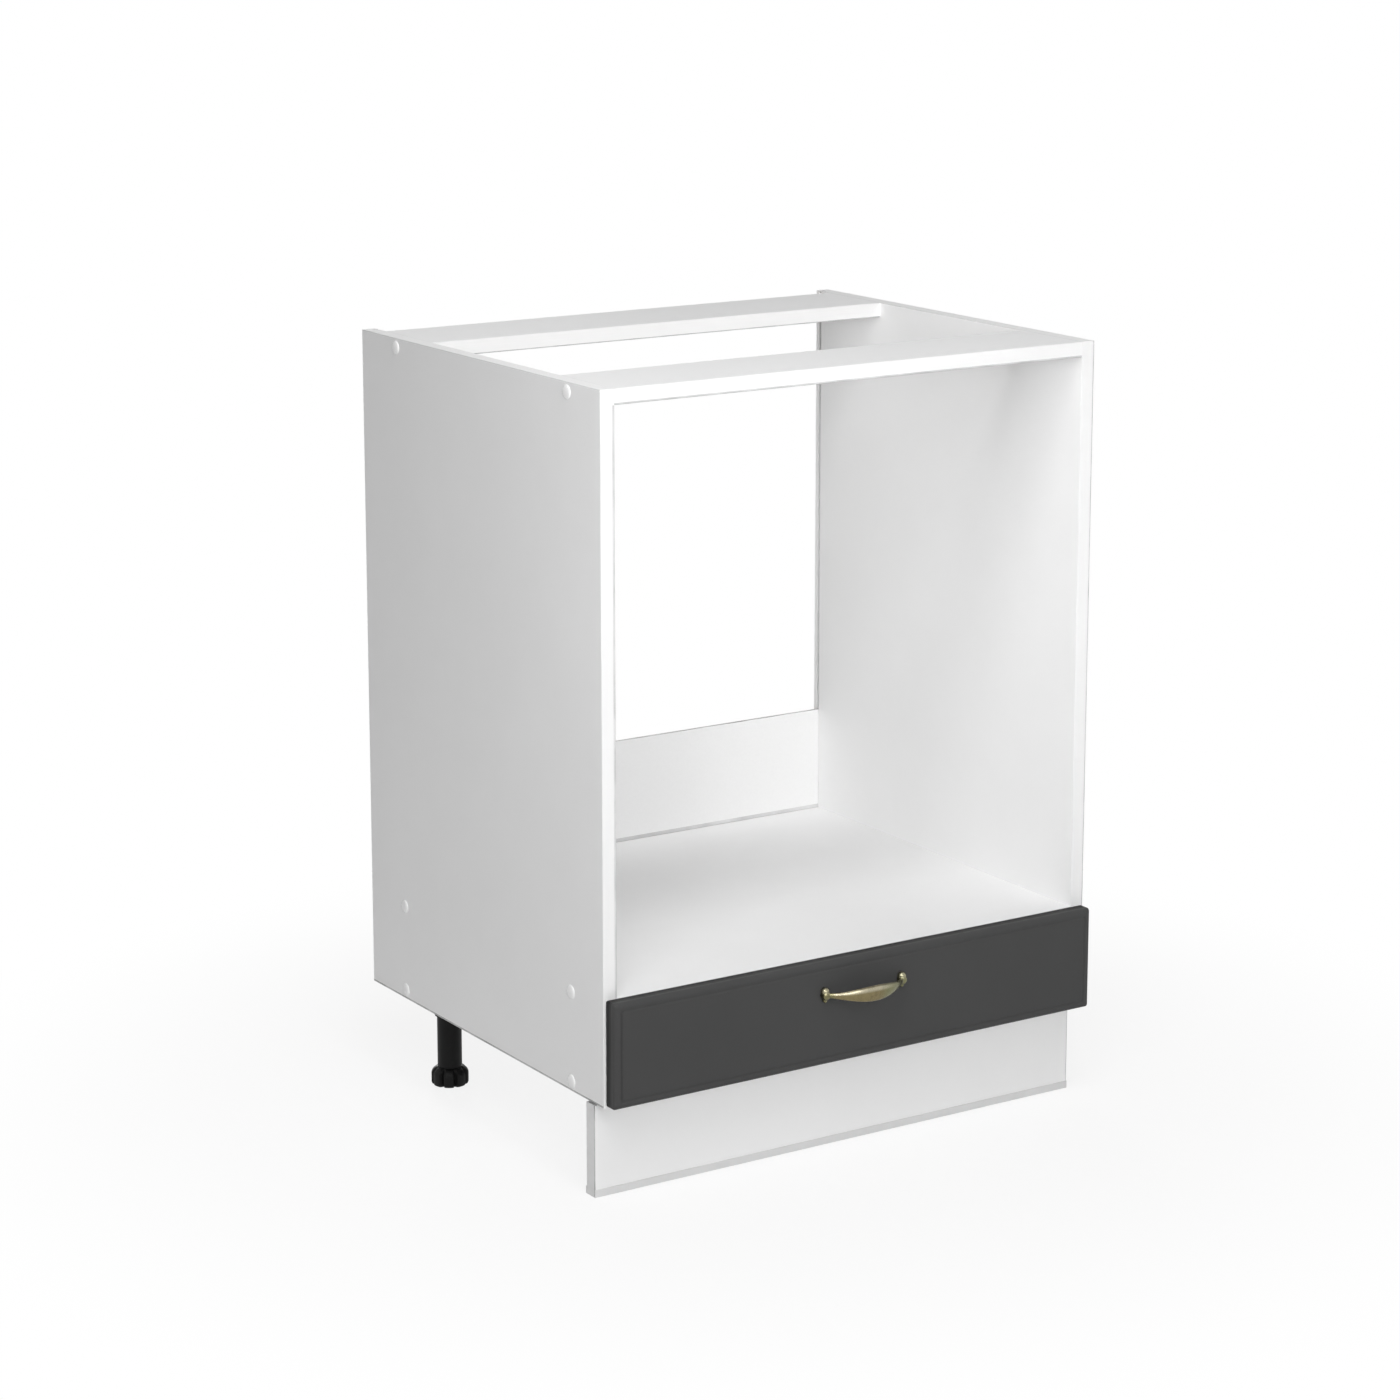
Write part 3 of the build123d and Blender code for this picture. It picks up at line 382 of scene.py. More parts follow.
def freeze(piece):
    """Replace a piece's mesh by what its modifiers make of it, and drop the modifiers."""
    graph = bpy.context.evaluated_depsgraph_get()
    mesh = bpy.data.meshes.new_from_object(piece.evaluated_get(graph), preserve_all_data_layers=True, depsgraph=graph)
    piece.modifiers.clear()
    piece.data = mesh
    mesh.name = piece.name
    return piece


def smoothed(piece, sharp_degrees):
    """Smooth shading that stops at edges sharper than this."""
    for face in piece.data.polygons:
        face.use_smooth = True
    piece.data.set_sharp_from_angle(angle=math.radians(sharp_degrees))
    return piece


def shaded(piece, sharp_degrees=35.0):
    """Smoothed, with normals that keep big faces flat."""
    weighted = smoothed(piece, sharp_degrees).modifiers.new("weighted", "WEIGHTED_NORMAL")
    weighted.keep_sharp = True
    return freeze(piece)


def sharp_edges(shape, shortest_mm, least_degrees):
    """The outward edges of a shape that are long and sharp enough to be eased."""
    least = math.radians(least_degrees)
    return [
        edge for edge in shape.edges
        if edge.is_manifold and edge.is_convex
        and edge.calc_length() > shortest_mm * MM and edge.calc_face_angle() > least
    ]


def ease_edges(shape, edges, width_mm, steps=2, faint_shade=0.1):
    """Bevel these edges and give the new faces a faint painted grey shade."""
    rim = shape.faces.layers.float.get("rim") or shape.faces.layers.float.new("rim")
    made = bmesh.ops.bevel(
        shape, geom=edges, offset=width_mm * MM, offset_type="OFFSET", segments=steps,
        profile=0.5, affect="EDGES", clamp_overlap=True,
    )
    for face in made["faces"]:
        face[rim] = faint_shade
    return len(edges)


def settle(piece, body, node_name):
    """Put a finished piece on its body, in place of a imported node."""
    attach(piece, body)
    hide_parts(node_name)


# %% [markdown]
# ## Boards
#
# All boards go through one function. It copies the node, eases its long edges,
# and gives bare core to the faces that point to the wall or the floor, where
# such a cabinet has no band. The front edges are separate pieces, the edge
# bands, with a slightly larger radius from the trimming cutter. A table of
# sides says on which bevels painted grey shade lies as a thin line, most of
# all towards the oven niche. Some faces and strips along a side are painted
# grey as shade too, such as a narrow strip along the lower edges of the side
# panels. A zone along one side is found by cutting the board's faces in two.

# %% Sides of a board
LEFT, RIGHT = (0, -1), (0, 1)
FRONT, REAR = (1, -1), (1, 1)
DOWN, UP = (2, -1), (2, 1)
SIDES = (LEFT, RIGHT, FRONT, REAR, DOWN, UP)
# A corner this near to a side of its board lies in that side.
NEAR = 0.02 * MM


def side_of(box, axis, sign):
    """Where a box ends on one side."""
    return box[1][axis] if sign > 0 else box[0][axis]


def lies_on(part, box, axis, sign):
    """Whether an edge or a face lies in the side of a box that faces along an axis."""
    side = side_of(box, axis, sign)
    return all(abs(vert.co[axis] - side) < NEAR for vert in part.verts)


def outer_edges(shape, box, joint):
    """The sharp edges where two sides of a board's box meet, without those at its joint, and all others."""
    edges = sharp_edges(shape, shortest_mm=20.0, least_degrees=40.0)
    edges = [edge for edge in edges if not joint or not lies_on(edge, box, *joint)]
    outer = [edge for edge in edges if sum(lies_on(edge, box, *side) for side in SIDES) >= 2]
    return outer, [edge for edge in edges if edge not in outer]


def cut_zone(shape, box, side, width_mm):
    """Cut a shape a little inside one side of its box, and give the test for the faces on that side's part."""
    axis, sign = side
    border = side_of(box, axis, sign) - sign * width_mm * MM
    across = Vector((0, 0, 0))
    across[axis] = 1.0
    bmesh.ops.bisect_plane(shape, geom=everything(shape), plane_co=across * border, plane_no=across)
    return lambda face: all((vert.co[axis] - border) * sign > -NEAR / 2 for vert in face.verts)


# %% Dress the boards
# Widths of the bevels on the edges named in broad, and on those that a cutter left within a board.
BROAD_MM, MILLED_MM = 1.3, 0.12
# How far the normal of a bevel has to lean towards a side to carry that side's painted grey shade.
LEANING = 0.25


def board(name, body, slot, face_finish, core_finish=None, bare=(), ease_mm=0.6, joint=None,
          broad=(), shade_lines=None, cut=None, milled_shade=0.0, strip=None, spared=None):
    """A board with eased edges, bare cores towards the sides in bare, and painted grey shade on chosen bevels, faces
    and strips.
    """
    shape, box = joined_copy(name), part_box(name)
    outer, milled = outer_edges(shape, box, joint)
    eased = 0
    if broad:
        wide = [edge for edge in outer if any(lies_on(edge, box, *side) for side in broad)]
        eased += ease_edges(shape, wide, BROAD_MM)
        outer, milled = outer_edges(shape, box, joint)
    eased += ease_edges(shape, outer, ease_mm)
    milled = [edge for edge in milled if edge.is_valid]
    if milled:
        eased += ease_edges(shape, milled, MILLED_MM, steps=1)
    in_strip = cut_zone(shape, box, *strip[:2]) if strip else None
    is_spared = cut_zone(shape, box, *spared) if spared else None
    rim = shape.faces.layers.float["rim"]
    # Each face gets a share of painted grey shade: bevels by the sides that they lean to, then faces in the strip,
    # faces on the sides listed in cut, and milled faces.
    for face in shape.faces:
        if is_spared and is_spared(face):
            continue
        if face[rim]:
            normal = face.normal
            shares = [share for (axis, sign), share in (shade_lines or {}).items() if normal[axis] * sign > LEANING]
            face[rim] = max(shares + [face[rim]])
            continue
        resting = [side for side in SIDES if lies_on(face, box, *side)]
        if any(side in bare for side in resting):
            face.material_index = 1
        elif in_strip and in_strip(face):
            face[rim] = strip[2]
        elif resting:
            face[rim] = (cut or {}).get(resting[0], 0.0)
        else:
            face[rim] = milled_shade
    piece = new_piece(name + "_dressed", shape, [face_finish] + ([core_finish] if core_finish else []))
    settle(shaded(piece), body, name)
    return eased


# The side panels get painted grey shade on their bevels, most on the lower ones, on their milled faces and in a strip
# along their lower edge.
low_edge_shade = {"shade_lines": {DOWN: 1.0, UP: 0.3}, "milled_shade": 0.3, "strip": (DOWN, 2.2, 1.0)}
carcass_boards = {
    "left_side_panel": low_edge_shade,
    "right_side_panel": low_edge_shade,
    "bottom_panel": {},
    "oven_shelf": {"broad": (REAR,), "shade_lines": {REAR: 0.8}},
    "front_top_rail": {"shade_lines": {REAR: 0.4}},
    "rear_top_rail": {"shade_lines": {REAR: 0.3}},
}
for name, look in carcass_boards.items():
    count = board(name, "carcass", "white_board", white_melamine, chip_core, (REAR,), joint=FRONT, **look)
    print(name, "eased edges:", count)
for name in ("drawer_side_left", "drawer_side_right", "drawer_inner_front", "drawer_back"):
    print(name, "eased edges:", board(name, "drawer", "white_board", white_melamine, chip_core, (DOWN,)))

# %% Thin boards, plinth and edge bands
# The strip is painted grey where it stands behind the shelf and 4 mm above it, as the shadow line along the joint,
# and its top face is painted grey as shade too.
shadow_above_shelf = 4.0
shelf_shadow_reach = (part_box("oven_shelf")[1].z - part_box("back_strip")[0].z) / MM + shadow_above_shelf
board("back_strip", "carcass", "white_thin_board", lacquered_hardboard, brown_hardboard, (REAR,), 0.5,
      shade_lines={UP: 1.0}, cut={UP: 1.0}, strip=(DOWN, shelf_shadow_reach, 0.5))
board("drawer_bottom", "drawer", "white_thin_board", lacquered_hardboard, brown_hardboard, (DOWN,), 0.2)
# The plinth's ends, their bevels and a strip along its right end are painted grey as shade.
board("plinth_board", "plinth", "plinth_white", plinth_laminate, chip_core, (DOWN,), 0.8,
      shade_lines={LEFT: 1.0, RIGHT: 0.7}, cut={LEFT: 0.25, RIGHT: 0.25}, strip=(RIGHT, 1.3, 0.7))

# Beside the end of a rail the left band gets no painted shade line.
beside_rail = (UP, (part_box("left_side_panel")[1].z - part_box("front_top_rail")[0].z) / MM)
# Each band: its finish, the sides whose bevels get painted grey shade, a strip of painted shade along one side, and a
# zone left without it.
bands = {
    "left_side_edge_band": (upright_band, {RIGHT: 0.8}, (RIGHT, 2.6, 0.5), beside_rail),
    "right_side_edge_band": (upright_band, {RIGHT: 1.0}, (RIGHT, 1.2, 0.9), None),
    "bottom_panel_edge_band": (level_band, {}, None, None),
    "oven_shelf_edge_band": (level_band, {UP: 0.3, DOWN: 0.5}, None, None),
    "front_top_rail_edge_band": (level_band, {DOWN: 0.9}, (DOWN, 2.0, 0.55), None),
    "rear_top_rail_edge_band": (level_band, {DOWN: 1.0}, (DOWN, 1.2, 0.7), None),
}
for name, (finish, shade_lines, strip, spared) in bands.items():
    board(name, "carcass", "white_edge", finish, ease_mm=0.7, joint=REAR, shade_lines=shade_lines, strip=strip, spared=spared)
print("edge bands:", len(bands))

# %% [markdown]
# ## Round and moulded nodes
#
# Sockets, tubes, clips, runners, rollers and the sealing profile keep their
# modelled shape. Their copies get smooth shading that stops at real corners,
# and the pressed and moulded ones a very small bevel on their straight edges.

# %% Dress the small parts
def small_part(name, body, finish, ease_mm=0.0, shortest_mm=3.0):
    """A copy of a node with smooth shading and, where asked, eased edges."""
    shape = joined_copy(name)
    if ease_mm:
        ease_edges(shape, sharp_edges(shape, shortest_mm, least_degrees=55.0), ease_mm)
    settle(shaded(new_piece(name + "_dressed", shape, [finish])), body, name)


for corner in ("front_left", "front_right", "rear_left", "rear_right"):
    small_part("leg_socket_" + corner, "carcass", black_plastic, 0.4, 6.0)
    small_part("leg_tube_" + corner, "carcass", black_plastic)
for side in ("left", "right"):
    small_part("plinth_clip_" + side, "plinth", clip_plastic, 0.3, 4.0)
    small_part("cabinet_runner_" + side, "carcass", runner_enamel, 0.2, 8.0)
    small_part("drawer_runner_" + side, "drawer", runner_enamel, 0.2, 8.0)
    for row in ("front", "rear"):
        roller = f"{row}_roller_{side}"
        small_part(roller, roller, roller_nylon)
small_part("plinth_seal", "plinth", seal_pvc, 0.25, 10.0)

# %% [markdown]
# ## The adjusting feet
#
# Each foot is a knob with eight flutes for the fingers and a shoulder that
# slopes up to the tube, on a coarse threaded stem that stays hidden until the
# foot is screwed down. All of it is one rule, a radius for each height and
# angle, so the mesh is a stack of rings. The flutes are cut out of the outline
# by an amount that fades towards the shoulder.

# %% Outline of the adjusting feet
def eased_step(share):
    """Goes from 0 to 1 with soft ends."""
    share = min(max(share, 0.0), 1.0)
    return share * share * (3 - 2 * share)


# (share of the knob's radius, height in mm) from the middle of the sole to the shoulder at the stem.
KNOB = [
    (0.0, 0.0), (0.55, 0.0), (0.88, 0.0), (0.93, 0.3), (0.975, 1.2), (1.0, 2.6), (1.0, 6.0), (1.0, 10.0),
    (1.0, 12.2), (0.985, 14.0), (0.94, 15.8), (0.87, 17.4), (0.79, 18.7), (0.72, 19.5), (0.66, 19.95),
]
KNOB_TOP, STEM_R, PITCH, THREAD_DEEP = 20.0, 11.0, 4.0, 0.7
FLUTES, FLUTE_DEEP, FOOT_ROUNDS = 8, 3.6, 96


def foot_outline(knob_r, top):
    """(radius, height, depth of the flutes) in mm from the sole to the top of the stem."""
    # The flutes are deepest where the knob is wide, and run out at 62 percent of its radius.
    outline = [(share * knob_r, z, FLUTE_DEEP * min(max((share - 0.62) / 0.3, 0.0), 1.0)) for share, z in KNOB]
    stem_long = top - 1.0 - KNOB_TOP
    levels = round(stem_long / PITCH * 4)
    outline += [(STEM_R, KNOB_TOP + stem_long * step / levels, 0.0) for step in range(levels + 1)]
    return outline + [(STEM_R - 1.0, top, 0.0), (0.0, top, 0.0)]


# %% Build the adjusting feet
def fluted_foot(name, turn_degrees):
    """A fluted foot with its threaded stem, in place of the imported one."""
    low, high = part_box(name)
    middle_x, middle_y = (low.x + high.x) / 2, (low.y + high.y) / 2
    top = (high.z - low.z) / MM
    shape = bmesh.new()
    rings = []
    for radius, z, flute in foot_outline((high.x - low.x) / 2 / MM, top):
        ring = []
        for step in range(FOOT_ROUNDS):
            angle = 2 * math.pi * step / FOOT_ROUNDS
            off = abs((angle - math.radians(turn_degrees)) * FLUTES / (2 * math.pi) % 1.0 - 0.5) * 2
            # A flute takes up two fifths of the way from its middle to the next one's.
            into = flute * eased_step((off - 0.6) / 0.4)
            helix = 0.5 + 0.5 * math.cos(2 * math.pi * z / PITCH + angle)
            thread = THREAD_DEEP * helix if KNOB_TOP + 1.0 < z < top - 1.5 else 0.0
            r = (max(radius - into, 0.0) - thread) * MM if radius else 0.0
            spot = middle_x + r * math.cos(angle), middle_y + r * math.sin(angle), low.z + z * MM
            ring.append(shape.verts.new(spot))
        rings.append(ring)
    skin(shape, rings)
    bmesh.ops.remove_doubles(shape, verts=shape.verts, dist=BUILT_WELD)
    bmesh.ops.recalc_face_normals(shape, faces=shape.faces)
    return new_piece(name + "_dressed", shape, [black_plastic])


turns = {"front_left": 3.0, "front_right": 31.0, "rear_left": 34.6, "rear_right": 17.0}
for corner, turn in turns.items():
    foot = shaded(fluted_foot("leg_foot_" + corner, turn))
    settle(foot, "foot_" + corner, "leg_foot_" + corner)
print("foot faces:", len(foot.data.polygons))

# %% [markdown]
# ## The drawer front
#
# The front is one fibreboard with rounded outer edges and a shallow line
# milled just inside them. Film and cutter leave no sharp line, so the shape is
# lofted from rectangles with rounded corners: each has an inset and a depth,
# read off the cutter's path from the back edge over the round and through the
# line to the flat field. Each also gives a share of painted shade that darkens
# the film there, and a share for each side says how much of that shows. The
# back stays white, as on real fronts.

# %% Profile of the drawer front
EDGE_ROUND, LINE_START, LINE_WIDE, LINE_DEEP = 5.2, 5.9, 5.0, 0.55
CORNER_R, CORNER_STEPS, ROUND_STEPS, LINE_STEPS = 2.3, 6, 12, 16
# How much painted shade darkens the film over the round, and how much of it shows in the line, on the low, right, top
# and left side.
ROUND_SHARES, LINE_SHARES = (0.45, 0.35, 0.0, 0.0), (0.14, 0.14, 0.05, 0.36)


def front_profile(thick):
    """(inset, depth behind the face, share of painted shade on the film) from the back edge to the field, in mm."""
    path = [(0.25, thick, 1.0), (0.0, thick - 0.25, 1.0), (0.0, thick * 0.6, 1.0), (0.0, EDGE_ROUND + 1.0, 0.15)]
    for step in range(ROUND_STEPS + 1):
        angle = math.pi / 2 * step / ROUND_STEPS
        path.append((EDGE_ROUND - EDGE_ROUND * math.cos(angle), EDGE_ROUND - EDGE_ROUND * math.sin(angle), 0.0))
    for step in range(LINE_STEPS + 1):
        share = step / LINE_STEPS
        valley = 0.5 - 0.5 * math.cos(2 * math.pi * share)
        path.append((LINE_START + LINE_WIDE * share, LINE_DEEP * valley, valley))
    return path


def rounded_ring(shape, low, high, inset, depth):
    """Vertices round a rectangle with rounded corners, at this inset and depth in a box."""
    radius = CORNER_R * MM
    left, right = low.x + inset * MM + radius, high.x - inset * MM - radius
    under, over = low.z + inset * MM + radius, high.z - inset * MM - radius
    ring = []
    for corner, (x, z) in enumerate(((left, under), (right, under), (right, over), (left, over))):
        for step in range(CORNER_STEPS + 1):
            angle = math.pi * (1 + corner / 2) + math.pi / 2 * step / CORNER_STEPS
            spot = x + radius * math.cos(angle), low.y + depth * MM, z + radius * math.sin(angle)
            ring.append(shape.verts.new(spot))
    return ring


# %% Build the drawer front
lowest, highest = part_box("drawer_front")
profile = front_profile((highest.y - lowest.y) / MM)
shape = bmesh.new()
film_shade_layer = shape.faces.layers.float.new("drawn")
rings = [rounded_ring(shape, lowest, highest, inset, depth) for inset, depth, drawn in profile]
for index, wall in enumerate(skin(shape, rings)):
    inset, drawn = profile[index + 1][0], (profile[index][2] + profile[index + 1][2]) / 2
    in_line, on_round = inset > LINE_START, max(0.0, 1.0 - inset / EDGE_ROUND)
    shares = LINE_SHARES if in_line else ROUND_SHARES
    for place, face in enumerate(wall):
        corner, step = divmod(place, CORNER_STEPS + 1)
        # A face on a corner takes the middle of the two sides that meet there.
        sides = (corner,) if step == CORNER_STEPS else (corner - 1, corner)
        share = sum(shares[side] for side in sides) / len(sides)
        face[film_shade_layer] = drawn * share if in_line else max(drawn, share * on_round)
shape.faces.new(rings[-1])
back = shape.faces.new(list(reversed(rings[0])))
back.material_index = 1
bmesh.ops.recalc_face_normals(shape, faces=shape.faces)
drawer_front = new_piece("drawer_front_dressed", shape, [graphite_film, white_melamine])
settle(shaded(drawer_front, sharp_degrees=50.0), "drawer", "drawer_front")
print("drawer front:", len(profile), "rings,", len(drawer_front.data.polygons), "faces")

# %% [markdown]
# ## The leaf of the handle
#
# The bow is a strip that follows an arc, narrow at both ends and leaf-wide in
# the middle. Its shape follows a rule, so Geometry Nodes make it: a flat grid
# is bent in one step, its long side along the arc and its short side round an
# oval section whose width grows with a power of a cosine. Every size is an
# input of the tree, so the same tree makes a longer or fuller handle.

# %% Geometry Nodes helpers
def new_tree(name, sockets):
    """A geometry tree with named inputs. Returns the tree, its input sockets and its output node."""
    tree = bpy.data.node_groups.new(name, "GeometryNodeTree")
    tree.interface.new_socket("Geometry", in_out="INPUT", socket_type="NodeSocketGeometry")
    for title, kind in sockets.items():
        tree.interface.new_socket(title, in_out="INPUT", socket_type="NodeSocket" + kind)
    tree.interface.new_socket("Geometry", in_out="OUTPUT", socket_type="NodeSocketGeometry")
    return tree, node(tree, "NodeGroupInput").outputs, node(tree, "NodeGroupOutput")


def end_tree(tree, geometry, finish, result):
    """End a tree in plain geometry that carries one finish."""
    real = node(tree, "GeometryNodeRealizeInstances", {"Geometry": geometry}).outputs[0]
    dressed = node(tree, "GeometryNodeSetMaterial", {"Geometry": real, "Material": finish}).outputs[0]
    tree.links.new(dressed, result.inputs[0])


def grow(piece, tree, values):
    """Run a tree on a piece with these input values and keep the plain mesh."""
    modifier = piece.modifiers.new(tree.name, "NODES")
    modifier.node_group = tree
    for item in tree.interface.items_tree:
        if item.in_out == "INPUT" and item.name in values:
            modifier[item.identifier] = values[item.name]
    return freeze(piece)


# %% The tree of the leaf
LEAF_POWER, TIP_START = 1.8, 0.96
leaf_inputs = {
    "Arc Radius": "Float", "Half Angle": "Float", "Top": "Vector", "End Width": "Float",
    "Leaf Width": "Float", "Thickness": "Float", "Along": "Int", "Around": "Int", "Finish": "Material",
}
leaf_tree, given, result = new_tree("leaf_bow", leaf_inputs)
grid = node(leaf_tree, "GeometryNodeMeshGrid", {
    "Size X": 2.0, "Size Y": 1.0, "Vertices X": given["Along"], "Vertices Y": given["Around"],
})
position = node(leaf_tree, "GeometryNodeInputPosition").outputs[0]
spot = node(leaf_tree, "ShaderNodeSeparateXYZ", {0: position}).outputs

# Each line becomes one Math node. Its terms are numbers, inputs of the tree or lines above it.
leaf_rule = {
    "turn": ("MULTIPLY", "across grid", 2 * math.pi),
    "angle": ("MULTIPLY", "along grid", "Half Angle"),
    "quarter turn": ("MULTIPLY", "along grid", math.pi / 2),
    "fall to ends": ("COSINE", "quarter turn"),
    "bulge": ("POWER", "fall to ends", LEAF_POWER),
    "width": ("MULTIPLY_ADD", "bulge", "Leaf Width", "End Width"),
    # The last part of each end closes over like the tip of a finger.
    "from middle": ("ABSOLUTE", "along grid"),
    "past tip start": ("SUBTRACT", "from middle", TIP_START),
    "into tip": ("MULTIPLY", "past tip start", 1 / (1 - TIP_START)),
    "closing": ("MAXIMUM", "into tip", 0.0),
    "closed square": ("POWER", "closing", 2.0),
    "open square": ("SUBTRACT", 1.0, "closed square"),
    "open at least": ("MAXIMUM", "open square", 0.0),
    "open": ("SQRT", "open at least"),
    # The grid's short side runs round an oval, its long side along the arc.
    "half width": ("MULTIPLY", "width", 0.5),
    "side share": ("COSINE", "turn"),
    "open side": ("MULTIPLY", "side share", "open"),
    "across": ("MULTIPLY", "half width", "open side"),
    "half thickness": ("MULTIPLY", "Thickness", 0.5),
    "front share": ("SINE", "turn"),
    "open front": ("MULTIPLY", "front share", "open"),
    "out": ("MULTIPLY", "half thickness", "open front"),
    "reach": ("ADD", "Arc Radius", "out"),
    "sine": ("SINE", "angle"),
    "x": ("MULTIPLY", "reach", "sine"),
    "cosine": ("COSINE", "angle"),
    "height": ("MULTIPLY", "reach", "cosine"),
    "y": ("SUBTRACT", "Arc Radius", "height"),
}
known = {title: given[title] for title in leaf_inputs}
known.update({"along grid": spot["X"], "across grid": spot["Y"]})
for title, (operation, *terms) in leaf_rule.items():
    sockets = {place: known.get(term, term) for place, term in enumerate(terms)}
    known[title] = node(leaf_tree, "ShaderNodeMath", sockets, operation=operation).outputs[0]
bent = node(leaf_tree, "ShaderNodeCombineXYZ", {"X": known["x"], "Y": known["y"], "Z": known["across"]}).outputs[0]
placed = node(leaf_tree, "ShaderNodeVectorMath", {0: bent, 1: given["Top"]}, operation="ADD").outputs[0]
leaf = node(leaf_tree, "GeometryNodeSetPosition", {"Geometry": grid.outputs["Mesh"], "Position": placed}).outputs[0]
welded = node(leaf_tree, "GeometryNodeMergeByDistance", {"Geometry": leaf, "Distance": BUILT_WELD}).outputs[0]
end_tree(leaf_tree, welded, given["Finish"], result)
print("nodes in the leaf's tree:", len(leaf_tree.nodes))

# %% [markdown]
# ## Feet of the handle, and the casting
#
# Each foot is a ball that runs down into a drop, with a short boss that holds
# the leaf off the face. Both are turned from an outline. Leaf and feet are one
# casting on the real handle, so they are joined, remeshed into a single skin
# and smoothed, which leaves a small fillet in every corner, as metal does in
# a mould. Last, the back is cut off flat where it lies on the drawer front.

# %% Bend the leaf
def turned(outline, origin, axis, rounds=48):
    """A bmesh turned from (radius, height) pairs in mm about an axis through origin."""
    shape = bmesh.new()
    start = Vector(axis).orthogonal().normalized()
    points = [shape.verts.new(origin + start * r * MM + Vector(axis) * h * MM) for r, h in outline]
    edges = [shape.edges.new(pair) for pair in zip(points, points[1:])]
    bmesh.ops.spin(shape, geom=points + edges, cent=origin, axis=axis, angle=2 * math.pi, steps=rounds)
    bmesh.ops.remove_doubles(shape, verts=shape.verts, dist=BUILT_WELD)
    bmesh.ops.recalc_face_normals(shape, faces=shape.faces)
    return shape


post_x, drop, thick, end_rise = 48.0, 17.0, 4.4, 3.0
end_wide, leaf_wide = 5.2, 11.6
handle_low, handle_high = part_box("drawer_handle")
face_y = handle_high.y
handle_z = handle_high.z - drop / 2 * MM
rise = (face_y - handle_low.y) / MM - thick / 2
sag = rise - end_rise
arc_r = (post_x ** 2 + sag ** 2) / (2 * sag)
bow = new_piece("handle_bow", bmesh.new(), [antique_brass])
grow(bow, leaf_tree, {
    "Arc Radius": arc_r * MM, "Half Angle": math.asin(post_x / arc_r),
    "Top": (0.0, face_y - rise * MM, handle_z), "End Width": end_wide * MM, "Leaf Width": leaf_wide * MM,
    "Thickness": thick * MM, "Along": 161, "Around": 41, "Finish": antique_brass,
})
print("handle arc radius in mm:", round(arc_r, 2), "leaf faces:", len(bow.data.polygons))

# %% Cast the handle
drop_outline = [
    (0.0, 8.5), (2.1, 8.05), (3.7, 6.9), (4.6, 5.3), (4.9, 3.6), (4.65, 2.0), (3.9, 0.4),
    (3.2, -1.0), (2.95, -2.4), (3.0, -3.8), (2.9, -5.2), (2.3, -6.7), (1.3, -7.9), (0.0, -8.5),
]
boss_outline = [(0.0, 0.0), (4.6, 0.0), (4.6, 5.0), (4.2, 6.3), (3.2, 7.3), (1.7, 7.85), (0.0, 8.0)]
drop_off_face, voxel_mm = 2.3, 0.32
casting = bmesh.new()
casting.from_mesh(bow.data)
bpy.data.objects.remove(bow)
for side in (-1, 1):
    foot_x = side * post_x * MM
    for part in (
        turned(drop_outline, Vector((foot_x, face_y - drop_off_face * MM, handle_z)), (0, 0, 1)),
        turned(boss_outline, Vector((foot_x, face_y, handle_z)), (0, -1, 0)),
    ):
        loose = bpy.data.meshes.new("handle_part")
        part.to_mesh(loose)
        part.free()
        casting.from_mesh(loose)
        bpy.data.meshes.remove(loose)
handle = new_piece("drawer_handle_dressed", casting, [antique_brass])
one_skin = handle.modifiers.new("skin", "REMESH")
one_skin.mode = "VOXEL"
one_skin.voxel_size = voxel_mm * MM
one_skin.use_smooth_shade = True
fillet = handle.modifiers.new("fillet", "SMOOTH")
fillet.factor = 0.5
fillet.iterations = 6
freeze(handle)
print("faces of the casting:", len(handle.data.polygons))

# %% Trim the handle's back
shape = bmesh.new()
shape.from_mesh(handle.data)
cut = bmesh.ops.bisect_plane(
    shape, geom=everything(shape), plane_co=(0, face_y, 0), plane_no=(0, 1, 0), clear_outer=True,
)
rim_edges = [edge for edge in cut["geom_cut"] if isinstance(edge, bmesh.types.BMEdge)]
bmesh.ops.holes_fill(shape, edges=rim_edges, sides=0)
shape.normal_update()
print("edges round the trimmed backs:", len(rim_edges))

# %% [markdown]
# ## Where the patina, painted shade and painted highlight sit
#
# Three numbers at each vertex drive the brass. They follow from where the
# vertex lies on the leaf and which way it faces: one is the dark of patina and
# painted shade, one the colder tone of the right half and of the feet, and one
# the paler metal of a painted highlight along the upper edge and on the balls.

